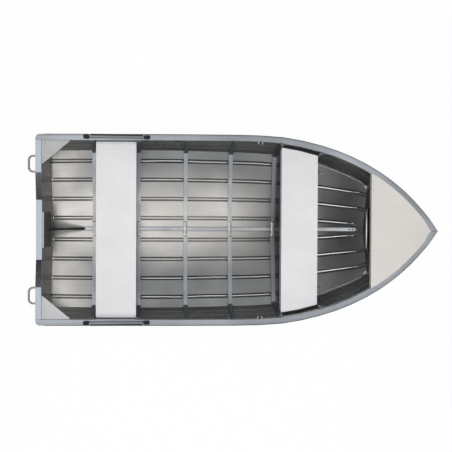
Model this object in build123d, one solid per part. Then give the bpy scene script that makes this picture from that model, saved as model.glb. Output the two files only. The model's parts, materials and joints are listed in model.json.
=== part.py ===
from build123d import *

import os
from collections import namedtuple
from math import atan, cos, hypot, pi, sin

os.makedirs("parts", exist_ok=True)

# An open dinghy of pressed and riveted aluminium sheet, 3.5 m long.
# Lengths are millimetres. +X points to the bow, +Y to port and +Z up.
# The origin lies on the centreline amidships, at the water surface.
# Heights in this file are measured from the underside of the keel line and are
# moved down by the draft when a piece is placed.

DRAFT = 66.0

FAR = 3000.0                # farther than any part of the boat
SEAT_GAP = 0.3              # gap between a piece and the sheet it is riveted to
BOTTOM_SHEET = 2.0
SIDE_SHEET = 1.6
TRANSOM_SHEET = 3.0
FRAME_SHEET = 2.5           # ribs, seats, bulkhead, deck and gussets

# Table of offsets. Every row is one raked cross-section with straight bottom and
# side lines. "plates" is the number of flat steps to the next row.
Offsets = namedtuple("Offsets", "keel_x keel_z chine_y chine_z sheer_x sheer_y sheer_z plates")
OFFSETS = [
    Offsets(-1638, 0, 717, 92, -1727, 803, 548, 1),
    Offsets(-1096, 0, 729, 92, -1096, 809, 550, 1),
    Offsets(-502, 0, 731, 92, -502, 814, 553, 1),
    Offsets(0, 0, 722, 95, 0, 816, 558, 2),
    Offsets(407, 0, 703, 105, 410, 800, 568, 2),
    Offsets(735, 4, 647, 128, 745, 732, 584, 2),
    Offsets(1003, 20, 547, 164, 1027, 631, 605, 2),
    Offsets(1216, 57, 441, 217, 1268, 498, 628, 3),
    Offsets(1389, 135, 277, 300, 1478, 334, 651, 3),
    Offsets(1516, 255, 115, 372, 1647, 157, 664, 3),
    Offsets(1613, 412, 8, 420, 1760, 5, 673, 0),
]
LAST_ROW = len(OFFSETS) - 1
INNER_ROW = 9               # foremost row that still leaves room between the sides
STRAKE_ROW = 8              # the pressed strakes have run out at this row

# Pressed strakes of the bottom sheet: distance from the keel as a part of the
# width of the sheet, aft and at the strake row, and the row where each ends.
Strake = namedtuple("Strake", "aft fore last_row")
STRAKES = [
    Strake(0.139, 0.090, 6.5),
    Strake(0.385, 0.495, 7.7),
    Strake(0.628, 0.880, 7.7),
    Strake(0.866, 0.930, 5.0),
]
STRAKE_BASE = 40.0
STRAKE_CREST = 11.0
STRAKE_DEPTH = 10.0
STRAKE_BEND_ROW = 4
RUN_OUT = 0.2               # part of its width that a pressing keeps past its end

# Pressed swages of the side sheet, as parts of its height above the chine.
SWAGES = [0.28, 0.54, 0.80]
SWAGE_BASE = 26.0
SWAGE_CREST = 12.0
SWAGE_DEPTH = 4.0
SWAGE_LAST_ROW = 8.7
SWAGE_ROW = 9               # the pressed swages have run out at this row

GUNWALE_OUT = 25.0
GUNWALE_IN = 30.0
GUNWALE_WALL = 3.0
GUNWALE_OUTER_LIP = 26.0
GUNWALE_INNER_LIP = 14.0
GUNWALE_WEB = 22.0
GUNWALE_EDGE = 1.6          # bevel on the two top edges
GROOVE_POSITION = 9.5
GROOVE_WIDTH = 5.0
GROOVE_DEPTH = 1.2
STERN_OVERHANG = 8.5
GUNWALE_JOINT_ROWS = [3, 4]   # the extrusion is butted together at these rows
STERN_CORNER_RADIUS = 40.0

KEEL_WEB = 10.0
KEEL_DEPTH = 26.0
KEEL_FLANGE = 60.0
KEEL_FLANGE_SHEET = 3.0
KEEL_FORE_ROW = 6
STEM_BAR_WIDTH = 16.0
STEM_BAR_DEPTH = 18.0

CHINE_RAIL_HEIGHT = 20.0
CHINE_RAIL_WIDTH = 18.0
CHINE_RAIL_LAST_ROW = 9.667

KEELSON_WIDTH = 32.0
KEELSON_HEIGHT = 17.0
KEELSON_START = -1346.0
KEELSON_END = 1200.0

RIB_POSITIONS = [-1258, -854, -419, -1, 408, 776]
RIB_WIDTH = 37.0
RIB_DEPTH = 30.0
RIB_TOP_DROP = 22.0
SADDLE_WIDTH = 130.0
SADDLE_LENGTH = 34.0
SADDLE_THICKNESS = 4.0

TRANSOM_LOW_HALF = 260.0
TRANSOM_HIGH_HALF = 496.0
TRANSOM_DROP = 50.0
CAP_WIDTH = 50.0
CAP_WALL = 3.0
CAP_OUTER_LIP = 20.0
CAP_INNER_LIP = 11.0

# Thwarts: folded box sections open below, with black plugs at both ends.
Seat = namedtuple("Seat", "name aft fore top plug")
SEATS = [
    Seat("aft", -1226, -873, 420, 6),
    Seat("front", 427, 757, 436, 25),
]
SEAT_APRON = 88.0
SEAT_RETURN = 22.0

BULKHEAD_POSITION = 1270.0
LOCKER_HALF_WIDTH = 204.0
LOCKER_SILL = 284.0
LOCKER_HEAD = 540.0
LOCKER_CORNER = 34.0
LOCKER_LIP = 12.0
DECK_AFT_EDGE = 1203.0
DECK_APRON = 50.0
DECK_LAP = 9.0              # the deck covers this much of each gunwale
DECK_FIRST_ROW = 6
DECK_NOSE = 2.0             # width of the deck at its foremost point

GUSSET_ALONG_SIDE = 282.0
GUSSET_ALONG_TRANSOM = 230.0
GUSSET_NOSE = 14.0

KNEE_SHEET = 4.0
KNEE_TOP = 430.0
KNEE_TOE = -1350.0
KNEE_TOE_HEIGHT = 40.0
KNEE_ELBOW = (-1500.0, 150.0)
KNEE_SHOULDER = (-1600.0, 290.0)
KNEE_FLANGE = 18.0
PAD_HALF_WIDTH = 156.0
PAD_FOOT = 250.0
INNER_PAD_THICKNESS = 46.0
OUTER_PAD_THICKNESS = 10.0

HANDLE_CENTRE = 572.0
HANDLE_SPAN = 138.0
HANDLE_REACH = 77.0
HANDLE_TUBE = 20.0
HANDLE_BEND = 40.0
HANDLE_SIDES = 16
HANDLE_HEIGHT = 492.0
HANDLE_FOOT = 40.0
HANDLE_FOOT_THICKNESS = 4.0

RAIL_CENTRE = -1040.0
RAIL_LENGTH = 520.0
RAIL_WIDTH = 22.0
RAIL_THICKNESS = 14.0
RAIL_LIFT = 16.0
BRACKET_LENGTH = 54.0
BRACKET_WIDTH = 32.0
BRACKET_HEIGHT = 35.0

ROWLOCK_POSITION = 217.0
ROWLOCK_LENGTH = 48.0
ROWLOCK_WIDTH = 24.0
ROWLOCK_HEIGHT = 40.0
ROWLOCK_BORE = 13.0

BUNG_SIDE = -62.0
BUNG_HEIGHT = 46.0
BUNG_BORE = 24.0
BUNG_FLANGE = 38.0
BUNG_THICKNESS = 5.0
BUNG_STICK_OUT = 10.0
BUNG_SIDES = 16

BOW_EYE_HEIGHT = 470.0
BOW_EYE_ROD = 10.0
BOW_EYE_RADIUS = 20.0
BOW_EYE_SIDES = 10
BOW_EYE_STEPS = 10


def offsets_at(number):
    """Hull offsets at a fractional row number, on smooth curves through the rows."""
    first = min(int(number), LAST_ROW - 1)
    step = number - first
    start = OFFSETS[first]
    end = OFFSETS[first + 1]
    values = []
    for column in range(7):
        rise = end[column] - start[column]
        leave = arrive = None
        if first > 0:
            leave = (end[column] - OFFSETS[first - 1][column]) / 2
        if first < LAST_ROW - 1:
            arrive = (OFFSETS[first + 2][column] - start[column]) / 2
        if leave is None:
            leave = 2 * rise - arrive
        if arrive is None:
            arrive = 2 * rise - leave
        bend = (leave - rise) * (1 - step) + (rise - arrive) * step
        values.append(start[column] + rise * step + step * (1 - step) * bend)
    return Offsets(*values, 0)


def row_numbers(start, end):
    """Row numbers of the hull sections between two rows, both ends included."""
    numbers = []
    for number, row in enumerate(OFFSETS):
        for plate in range(max(row.plates, 1)):
            here = number + plate / max(row.plates, 1)
            if start <= here <= end:
                numbers.append(here)
    for limit in (start, end):
        if min(abs(number - limit) for number in numbers) > 0.01:
            numbers.append(limit)
    return sorted(numbers)


def inward(run, across, lean):
    """Rate at which a move in y and in z leads away from a ruled sheet to its inside."""
    normal = run.cross(across).normalized()
    return normal.Y, normal.Z + lean * normal.X


class Section:
    """A raked cross-section of the port half of the hull, drawn in y and z."""

    def __init__(self, number):
        self.number = number
        self.offsets = offsets_at(number)
        here = self.offsets
        self.lean = (here.sheer_x - here.keel_x) / (here.sheer_z - here.keel_z)
        self.keel = (0.0, here.keel_z)
        self.chine = (here.chine_y, here.chine_z)
        self.sheer = (here.sheer_y, here.sheer_z)
        lines = []
        for other in (max(number - 0.05, 0), min(number + 0.05, LAST_ROW)):
            row = offsets_at(other)
            lean = (row.sheer_x - row.keel_x) / (row.sheer_z - row.keel_z)
            chine_x = row.keel_x + lean * (row.chine_z - row.keel_z)
            lines.append((
                Vector(row.keel_x, 0, row.keel_z),
                Vector(chine_x, row.chine_y, row.chine_z),
                Vector(row.sheer_x, row.sheer_y, row.sheer_z),
            ))
        aft, fore = lines
        bottom_run = (fore[0] + fore[1]) - (aft[0] + aft[1])
        side_run = (fore[1] + fore[2]) - (aft[1] + aft[2])
        bottom_across = self.place(self.chine) - self.place(self.keel)
        side_across = self.place(self.sheer) - self.place(self.chine)
        self.bottom_pull = inward(bottom_run, bottom_across, self.lean)
        self.side_pull = inward(side_run, side_across, self.lean)

    def place(self, point, side=1):
        """Space position of a (y, z) point of this section."""
        y, z = point
        here = self.offsets
        return Vector(here.keel_x + self.lean * (z - here.keel_z), side * y, z - DRAFT)

    def inset(self, bottom, side):
        """Keel, chine and sheer corners moved inwards by true sheet distances."""
        bottom_y, bottom_z = self.bottom_pull
        side_y, side_z = self.side_pull
        area = bottom_y * side_z - bottom_z * side_y
        move_y = (bottom * side_z - side * bottom_z) / area
        move_z = (side * bottom_y - bottom * side_y) / area
        keel = (0.0, self.keel[1] + bottom / bottom_z)
        chine = (self.chine[0] + move_y, self.chine[1] + move_z)
        sheer = (self.sheer[0] + side / side_y, self.sheer[1])
        return keel, chine, sheer

    def pressed_line(self, start, end, pull, ridges, base, crest, depth, inset):
        """Line from start to end with ridges pressed outwards, moved inwards by inset."""
        length = hypot(end[0] - start[0], end[1] - start[1])
        along = ((end[0] - start[0]) / length, (end[1] - start[1]) / length)
        square = (-along[1], along[0])
        rate = pull[0] * square[0] + pull[1] * square[1]
        points = []
        for centre, strength in ridges:
            spread = max(strength, RUN_OUT) / 2
            for offset, rise in ((-base, 0), (-crest, depth), (crest, depth), (base, 0)):
                travel = centre * length + offset * spread
                move = (inset - rise * strength) / rate
                points.append((
                    start[0] + along[0] * travel + square[0] * move,
                    start[1] + along[1] * travel + square[1] * move,
                ))
        return points


def ruled(outlines):
    """Solid with straight rulings through closed outlines of equal corner count."""
    wires = [Wire.make_polygon(outline, close=True) for outline in outlines]
    return Solid.make_loft(wires, ruled=True)


def starboard(shape):
    """The same piece on the other side of the boat."""
    return shape.mirror(Plane.XZ)


def block(x_range, y_range, z_range):
    """Box between limits, with heights given from the keel line."""
    low = Vector(x_range[0], y_range[0], z_range[0] - DRAFT)
    size = (x_range[1] - x_range[0], y_range[1] - y_range[0], z_range[1] - z_range[0])
    box = Box(*size, align=(Align.MIN, Align.MIN, Align.MIN))
    return Pos(low.X, low.Y, low.Z) * box


def side_prism(corners, y_range):
    """Plate cut along (x, z) corners and standing between two y values."""
    start = [Vector(x, y_range[0], z - DRAFT) for x, z in corners]
    face = Face(Wire.make_polygon(start, close=True))
    return Solid.extrude(face, Vector(0, y_range[1] - y_range[0], 0))


def cross_prism(corners, x_range):
    """Plate cut along (y, z) corners and standing between two x values."""
    start = [Vector(x_range[0], y, z - DRAFT) for y, z in corners]
    face = Face(Wire.make_polygon(start, close=True))
    return Solid.extrude(face, Vector(x_range[1] - x_range[0], 0, 0))


def plan_prism(corners, z_range):
    """Plate cut along (x, y) corners and lying between two heights."""
    start = [Vector(x, y, z_range[0] - DRAFT) for x, y in corners]
    face = Face(Wire.make_polygon(start, close=True))
    return Solid.extrude(face, Vector(0, 0, z_range[1] - z_range[0]))


def save(name, *shapes):
    """Write one named piece."""
    solids = [solid for shape in shapes for solid in shape.solids()]
    body = solids[0] if len(solids) == 1 else Compound(children=solids)
    body.label = name
    export_step(body, f"parts/{name}.step")
    print(name, len(solids), round(sum(solid.volume for solid in solids) / 1e3, 1))


# Hull skin


def bottom_outline(number):
    """Bottom sheet section with its pressed strakes."""
    section = Section(number)
    bend = max((number - STRAKE_BEND_ROW) / (STRAKE_ROW - STRAKE_BEND_ROW), 0) ** 2
    ridges = []
    for strake in STRAKES:
        centre = strake.aft + (strake.fore - strake.aft) * bend
        ridges.append((centre, 1 if number <= strake.last_row else 0))
    sizes = (STRAKE_BASE, STRAKE_CREST, STRAKE_DEPTH)
    keel, chine, _ = section.inset(BOTTOM_SHEET, SIDE_SHEET)
    span = (section.keel, section.chine, section.bottom_pull, ridges, *sizes)
    outer = [section.keel, *section.pressed_line(*span, 0), section.chine]
    inner = [keel, *section.pressed_line(*span, BOTTOM_SHEET), chine]
    return [section.place(point) for point in outer + inner[::-1]]


def plain_bottom_outline(number):
    """Bottom sheet section forward of the strakes."""
    section = Section(number)
    keel, chine, _ = section.inset(BOTTOM_SHEET, SIDE_SHEET)
    corners = [section.keel, section.chine, chine, keel]
    return [section.place(point) for point in corners]


def side_outline(number):
    """Side sheet section with its pressed swages, just clear of the bottom sheet."""
    section = Section(number)
    strength = 1 if number <= SWAGE_LAST_ROW else 0
    ridges = [(height, strength) for height in SWAGES]
    sizes = (SWAGE_BASE, SWAGE_CREST, SWAGE_DEPTH)
    _, chine, sheer = section.inset(BOTTOM_SHEET, SIDE_SHEET)
    span = (section.chine, section.sheer, section.side_pull, ridges, *sizes)
    foot = (section.chine[0], section.chine[1] + SEAT_GAP)
    inner_foot = (chine[0], chine[1] + SEAT_GAP)
    outer = [foot, *section.pressed_line(*span, 0), section.sheer]
    inner = [inner_foot, *section.pressed_line(*span, SIDE_SHEET), sheer]
    return [section.place(point) for point in outer + inner[::-1]]


def plain_side_outline(number):
    """Side sheet section forward of the swages."""
    section = Section(number)
    _, chine, sheer = section.inset(BOTTOM_SHEET, SIDE_SHEET)
    foot = (section.chine[0], section.chine[1] + SEAT_GAP)
    inner_foot = (chine[0], chine[1] + SEAT_GAP)
    corners = [foot, section.sheer, sheer, inner_foot]
    return [section.place(point) for point in corners]


bottom_aft = ruled([bottom_outline(number) for number in row_numbers(0, STRAKE_ROW)])
bottom_fore = ruled([plain_bottom_outline(number) for number in row_numbers(STRAKE_ROW, LAST_ROW)])
bottom_panel = bottom_aft.fuse(bottom_fore)
side_aft = ruled([side_outline(number) for number in row_numbers(0, SWAGE_ROW)])
side_fore = ruled([plain_side_outline(number) for number in row_numbers(SWAGE_ROW, LAST_ROW)])
side_panel = side_aft.fuse(side_fore)


def inner_hull(inset, start=0.0, end=INNER_ROW, head=0.0):
    """Space inside the sheets, kept at a distance from them."""
    outlines = []
    for number in row_numbers(start, end):
        section = Section(number)
        keel, chine, sheer = section.inset(BOTTOM_SHEET + inset, SIDE_SHEET + inset)
        sheer = (sheer[0], sheer[1] + head)
        port = [section.place(point) for point in (keel, chine, sheer)]
        other = [section.place(point, -1) for point in (sheer, chine)]
        outlines.append(port + other)
    return ruled(outlines)


def height_of_sheer(x):
    """Height of the sheer line at a distance along the boat."""
    low, high = 0.0, float(LAST_ROW)
    for _ in range(40):
        middle = (low + high) / 2
        if offsets_at(middle).sheer_x < x:
            low = middle
        else:
            high = middle
    return offsets_at(low).sheer_z


def bottom_height(x, y):
    """Height of the inner face of the bottom sheet at a place on the floor."""
    low, high = 0.0, float(LAST_ROW)
    for _ in range(40):
        middle = (low + high) / 2
        if offsets_at(middle).keel_x < x:
            low = middle
        else:
            high = middle
    section = Section(low)
    keel, chine, _ = section.inset(BOTTOM_SHEET, SIDE_SHEET)
    return keel[1] + (chine[1] - keel[1]) * abs(y) / chine[0]


# Gunwale


def gunwale_profile():
    """Extruded section as (outward, up) corners from the top of the side sheet."""
    top = SEAT_GAP + GUNWALE_WALL
    edge = GUNWALE_EDGE
    groove_out = GROOVE_POSITION + GROOVE_WIDTH / 2
    groove_in = GROOVE_POSITION - GROOVE_WIDTH / 2
    return [
        (GUNWALE_OUT, top - edge),
        (GUNWALE_OUT - edge, top),
        (groove_out, top),
        (groove_out - 1, top - GROOVE_DEPTH),
        (groove_in + 1, top - GROOVE_DEPTH),
        (groove_in, top),
        (edge - GUNWALE_IN, top),
        (-GUNWALE_IN, top - edge),
        (-GUNWALE_IN, -GUNWALE_INNER_LIP),
        (GUNWALE_WALL - GUNWALE_IN, -GUNWALE_INNER_LIP),
        (GUNWALE_WALL - GUNWALE_IN, SEAT_GAP),
        (SEAT_GAP, SEAT_GAP),
        (SEAT_GAP, -GUNWALE_WEB),
        (GUNWALE_WALL, -GUNWALE_WEB),
        (GUNWALE_WALL, SEAT_GAP),
        (GUNWALE_OUT - GUNWALE_WALL, SEAT_GAP),
        (GUNWALE_OUT - GUNWALE_WALL, -GUNWALE_OUTER_LIP),
        (GUNWALE_OUT, -GUNWALE_OUTER_LIP),
    ]


def gunwale_outlines(profile):
    """Sections of a profile along the port gunwale, from the stern to the bow mitre."""
    rows = [offsets_at(number) for number in row_numbers(0, LAST_ROW)]
    points = [Vector(row.sheer_x, row.sheer_y, row.sheer_z) for row in rows]
    first = points[0]
    aft_step = (points[1] - first).normalized() * STERN_OVERHANG
    points[0] = first - aft_step
    last_run = points[-1] - points[-2]
    points[-1] = points[-1] + last_run * (points[-1].Y / -last_run.Y)
    outlines = []
    for index, point in enumerate(points):
        before = point - points[index - 1] if index > 0 else points[1] - point
        after = points[index + 1] - point if index < len(points) - 1 else before
        turn = [Vector(-run.Y, run.X, 0).normalized() for run in (before, after)]
        if index == len(points) - 1:
            out = Vector(1, 0, 0)
            stretch = 1 / turn[0].X
        elif index == 0:
            out = Vector(0, 1, 0)
            stretch = 1 / turn[0].Y
        else:
            out = (turn[0] + turn[1]).normalized()
            stretch = 1 / out.dot(turn[0])
        run = before + after
        climb = run.Z / run.X
        outline = []
        for outward, up in profile:
            move = out * (outward * stretch)
            outline.append(point + move + Vector(0, 0, up + climb * move.X - DRAFT))
        outlines.append(outline)
    return outlines


gunwale_sections = gunwale_outlines(gunwale_profile())
gunwale_ends = [0, *GUNWALE_JOINT_ROWS, LAST_ROW]
gunwale = []
for start, end in zip(gunwale_ends, gunwale_ends[1:]):
    first = len(row_numbers(0, start)) - 1
    last = len(row_numbers(0, end))
    gunwale.append(ruled(gunwale_sections[first:last]))
gunwale_space = ruled(gunwale_outlines([
    (GUNWALE_OUT, 2 * GUNWALE_WALL),
    (-GUNWALE_IN - SEAT_GAP, 2 * GUNWALE_WALL),
    (-GUNWALE_IN - SEAT_GAP, -GUNWALE_INNER_LIP - SEAT_GAP),
    (GUNWALE_OUT, -GUNWALE_INNER_LIP - SEAT_GAP),
]))
stern_end = OFFSETS[0].sheer_x - STERN_OVERHANG
corner_y = OFFSETS[0].sheer_y + GUNWALE_OUT
corner_size = STERN_CORNER_RADIUS
corner_block = block(
    (stern_end - 1, stern_end + corner_size),
    (corner_y - corner_size, corner_y + 5),
    (OFFSETS[0].sheer_z - 40, OFFSETS[0].sheer_z + 20),
)
corner_round = Pos(
    stern_end + corner_size,
    corner_y - corner_size,
    OFFSETS[0].sheer_z - 10 - DRAFT,
) * Cylinder(corner_size, 80)
gunwale[0] = gunwale[0] - (corner_block - corner_round)


# Keel, stem and chine rails


def keel_outline(number):
    """Keel extrusion: a flange under both bottom sheets and a web below it."""
    section = Section(number)
    rise = (section.chine[1] - section.keel[1]) / section.chine[0]
    half = KEEL_FLANGE / 2
    web = KEEL_WEB / 2
    top = section.keel[1] - SEAT_GAP
    low = top - KEEL_FLANGE_SHEET
    port = [
        (half, top + rise * half),
        (half, low + rise * half),
        (web, low + rise * web),
        (web, top - KEEL_DEPTH),
    ]
    points = [section.place((0, top))]
    points += [section.place(point) for point in port]
    points += [section.place(point, -1) for point in port[::-1]]
    return points


keel_bar = ruled([keel_outline(number) for number in row_numbers(0, KEEL_FORE_ROW)])


def stem_bar_shape():
    """Flat bar on edge in front of the stem, from the forefoot to the gunwale."""
    rows = [offsets_at(number) for number in row_numbers(KEEL_FORE_ROW, LAST_ROW)]
    line = [Vector(row.keel_x, 0, row.keel_z) for row in rows]
    line.append(Vector(rows[-1].sheer_x, 0, rows[-1].sheer_z))
    inner, outer = [], []
    for index, point in enumerate(line):
        before = (point - line[index - 1]).normalized() if index > 0 else None
        after = (line[index + 1] - point).normalized() if index < len(line) - 1 else before
        run = ((before or after) + after).normalized()
        out = Vector(run.Z, 0, -run.X)
        inner.append(point + out * SEAT_GAP)
        outer.append(point + out * (SEAT_GAP + STEM_BAR_DEPTH))
    corners = [(point.X, point.Z) for point in inner + outer[::-1]]
    bar = side_prism(corners, (-STEM_BAR_WIDTH / 2, STEM_BAR_WIDTH / 2))
    top = rows[-1].sheer_z - GUNWALE_OUTER_LIP - 2
    start = offsets_at(KEEL_FORE_ROW).keel_x + SEAT_GAP
    return bar & block((start, FAR), (-FAR, FAR), (-FAR, top))


stem_bar = stem_bar_shape()


def chine_rail_outline(number):
    """Spray rail on the side sheet, just above the chine."""
    section = Section(number)
    y, z = section.chine
    rise = CHINE_RAIL_HEIGHT
    gap = SEAT_GAP / -section.side_pull[0]
    flare = (section.sheer[0] - y) / (section.sheer[1] - z)
    foot = 2.0
    corners = [
        (y + gap + flare * foot, z + foot),
        (y + CHINE_RAIL_WIDTH, z + foot),
        (y + CHINE_RAIL_WIDTH, z + foot + 5),
        (y + gap + flare * (foot + rise), z + foot + rise),
    ]
    return [section.place(corner) for corner in corners]


chine_rail = ruled([chine_rail_outline(number) for number in row_numbers(0, CHINE_RAIL_LAST_ROW)])


# Keelson and ribs


def keelson_outline(number):
    """Folded channel standing over the keel line inside the boat."""
    section = Section(number)
    keel, chine, _ = section.inset(BOTTOM_SHEET + SEAT_GAP, SIDE_SHEET)
    rise = (chine[1] - keel[1]) / chine[0]
    half = KEELSON_WIDTH / 2
    wall = FRAME_SHEET
    top = keel[1] + KEELSON_HEIGHT
    port = [
        (half, top),
        (half, keel[1] + rise * half),
        (half - wall, keel[1] + rise * (half - wall)),
        (half - wall, top - wall),
    ]
    points = [section.place(point) for point in port]
    return points + [section.place(point, -1) for point in port[::-1]]


keelson = ruled([keelson_outline(number) for number in row_numbers(0, 7)])
keelson = keelson & block((KEELSON_START, KEELSON_END), (-FAR, FAR), (-FAR, FAR))

rib_seat = inner_hull(SEAT_GAP)
rib_hollow = inner_hull(SEAT_GAP + RIB_DEPTH - FRAME_SHEET)
rib_face = inner_hull(SEAT_GAP + RIB_DEPTH)
saddle_face = inner_hull(SEAT_GAP + RIB_DEPTH + SADDLE_THICKNESS)


def rib(position):
    """Folded channel across the floor and up both sides, with a saddle over the keel."""
    top = height_of_sheer(position) - RIB_TOP_DROP
    reach = (-900, 900)
    half = RIB_WIDTH / 2
    span = (position - half, position + half)
    core_span = (span[0] + FRAME_SHEET, span[1] - FRAME_SHEET)
    band = (block(span, reach, (-50, top)) & rib_seat) - rib_face
    core = block(core_span, reach, (-60, top + 1)) - rib_hollow
    gap = KEELSON_WIDTH / 2 + SEAT_GAP
    low = bottom_height(span[1] + 4, 0)
    notch = block(
        (span[0] - 1, span[1] + 1),
        (-gap, gap),
        (low - 60, low + 3 * SEAT_GAP + KEELSON_HEIGHT),
    )
    saddle_span = (position - SADDLE_LENGTH / 2, position + SADDLE_LENGTH / 2)
    saddle = block(saddle_span, (-SADDLE_WIDTH / 2, SADDLE_WIDTH / 2), (-50, 300))
    return (band - core - notch) + ((saddle & rib_face) - saddle_face)


# Stern


def transom_x(height):
    """Position of the forward face of the transom sheet at a height."""
    aft = OFFSETS[0]
    lean = (aft.sheer_x - aft.keel_x) / (aft.sheer_z - aft.keel_z)
    return aft.keel_x + lean * (height - aft.keel_z)


transom_tilt = atan((OFFSETS[0].keel_x - OFFSETS[0].sheer_x) / OFFSETS[0].sheer_z)
transom_out = Vector(-cos(transom_tilt), 0, -sin(transom_tilt))


def transom_slab(corners, start, thickness):
    """Plate parallel to the transom, its near face a distance aft of the hull's end."""
    points = []
    for y, z in corners:
        points.append(Vector(transom_x(z), y, z - DRAFT) + transom_out * start)
    return Solid.extrude(Face(Wire.make_polygon(points, close=True)), transom_out * thickness)


transom_top = OFFSETS[0].sheer_z
transom_low = transom_top - TRANSOM_DROP
lip_y = OFFSETS[0].sheer_y - GUNWALE_IN
notch_z = transom_top - GUNWALE_INNER_LIP - SEAT_GAP
top_line = [
    (-lip_y + SEAT_GAP, transom_top),
    (-TRANSOM_HIGH_HALF, transom_top),
    (-TRANSOM_LOW_HALF, transom_low),
    (TRANSOM_LOW_HALF, transom_low),
    (TRANSOM_HIGH_HALF, transom_top),
    (lip_y - SEAT_GAP, transom_top),
]
stern = OFFSETS[0]
shoulder_y = stern.chine_y + (stern.sheer_y - stern.chine_y) * (
    (notch_z - stern.chine_z) / (stern.sheer_z - stern.chine_z)
)
transom_corners = [
    (0, stern.keel_z),
    (stern.chine_y, stern.chine_z),
    (shoulder_y, notch_z),
    (lip_y - SEAT_GAP, notch_z),
    *top_line[::-1],
    (-lip_y + SEAT_GAP, notch_z),
    (-shoulder_y, notch_z),
    (-stern.chine_y, stern.chine_z),
]
transom = transom_slab(transom_corners, 0.0, TRANSOM_SHEET)


def transom_cap_shape():
    """Folded cap over the top edge of the transom, stepped down for the motor."""
    aft = stern_end
    fore = aft + CAP_WIDTH
    upper = [(y, z + SEAT_GAP + CAP_WALL) for y, z in top_line]
    under = [(y, z + SEAT_GAP) for y, z in top_line]
    outer_lip = [(y, z - CAP_OUTER_LIP) for y, z in top_line]
    inner_lip = [(y, z - CAP_INNER_LIP) for y, z in top_line]
    plate = cross_prism(upper + under[::-1], (aft, fore))
    outer = cross_prism(upper + outer_lip[::-1], (aft, aft + CAP_WALL))
    inner = cross_prism(upper + inner_lip[::-1], (fore - CAP_WALL, fore))
    return plate + outer + inner


transom_cap = transom_cap_shape()

pad_head = transom_low - CAP_INNER_LIP - SEAT_GAP - INNER_PAD_THICKNESS * sin(transom_tilt)
pad_corners = [
    (-PAD_HALF_WIDTH, PAD_FOOT),
    (PAD_HALF_WIDTH, PAD_FOOT),
    (PAD_HALF_WIDTH, pad_head),
    (-PAD_HALF_WIDTH, pad_head),
]
inner_pad = transom_slab(pad_corners, -SEAT_GAP - INNER_PAD_THICKNESS, INNER_PAD_THICKNESS)
outer_head = transom_low - CAP_OUTER_LIP - 2
outer_corners = [
    (-PAD_HALF_WIDTH, PAD_FOOT),
    (PAD_HALF_WIDTH, PAD_FOOT),
    (PAD_HALF_WIDTH, outer_head),
    (-PAD_HALF_WIDTH, outer_head),
]
outer_pad = transom_slab(outer_corners, TRANSOM_SHEET + SEAT_GAP, OUTER_PAD_THICKNESS)


def knee_shape():
    """Flanged plate on the centreline that braces the transom to the floor."""
    half = KNEE_SHEET / 2
    floor = bottom_height(KNEE_ELBOW[0], half) + SEAT_GAP
    sheet_gap = SEAT_GAP / cos(transom_tilt)
    slope = [
        (KNEE_TOE, floor + KNEE_TOE_HEIGHT),
        KNEE_ELBOW,
        KNEE_SHOULDER,
        (transom_x(KNEE_TOP) + INNER_PAD_THICKNESS, KNEE_TOP),
    ]
    web = side_prism(
        [
            (transom_x(floor) + sheet_gap, floor),
            (KNEE_TOE, floor),
            *slope,
            (transom_x(KNEE_TOP) + sheet_gap, KNEE_TOP),
        ],
        (-half, half),
    )
    rise = KNEE_SHEET
    flange = side_prism(
        slope + [(x, z - rise) for x, z in slope[::-1]],
        (-KNEE_FLANGE / 2, KNEE_FLANGE / 2),
    )
    around = [
        (-PAD_HALF_WIDTH, PAD_FOOT - SEAT_GAP),
        (PAD_HALF_WIDTH, PAD_FOOT - SEAT_GAP),
        (PAD_HALF_WIDTH, transom_top),
        (-PAD_HALF_WIDTH, transom_top),
    ]
    thickness = INNER_PAD_THICKNESS + 2 * SEAT_GAP
    return (web + flange) - transom_slab(around, -thickness, thickness)


knee = knee_shape()


def gusset_shape():
    """Corner plate under the gunwale and the transom cap, port side."""
    top = transom_top - GUNWALE_INNER_LIP - SEAT_GAP
    low = top - FRAME_SHEET
    back = transom_x(low) + 3 * SEAT_GAP
    height = (low - stern.chine_z) / (stern.sheer_z - stern.chine_z)
    side = stern.chine_y + (stern.sheer_y - stern.chine_y) * height
    edge = side - SIDE_SHEET - 3 * SEAT_GAP
    along = back + GUSSET_ALONG_SIDE
    across = edge - GUSSET_ALONG_TRANSOM
    corners = [
        (back, edge),
        (along, edge),
        (along, edge - GUSSET_NOSE),
        (along - 6, edge - GUSSET_NOSE - 18),
        (back + 48, across + 6),
        (back + 30, across),
        (back, across),
    ]
    return plan_prism(corners, (low, top))


gusset = gusset_shape() & inner_hull(SEAT_GAP)


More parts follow.
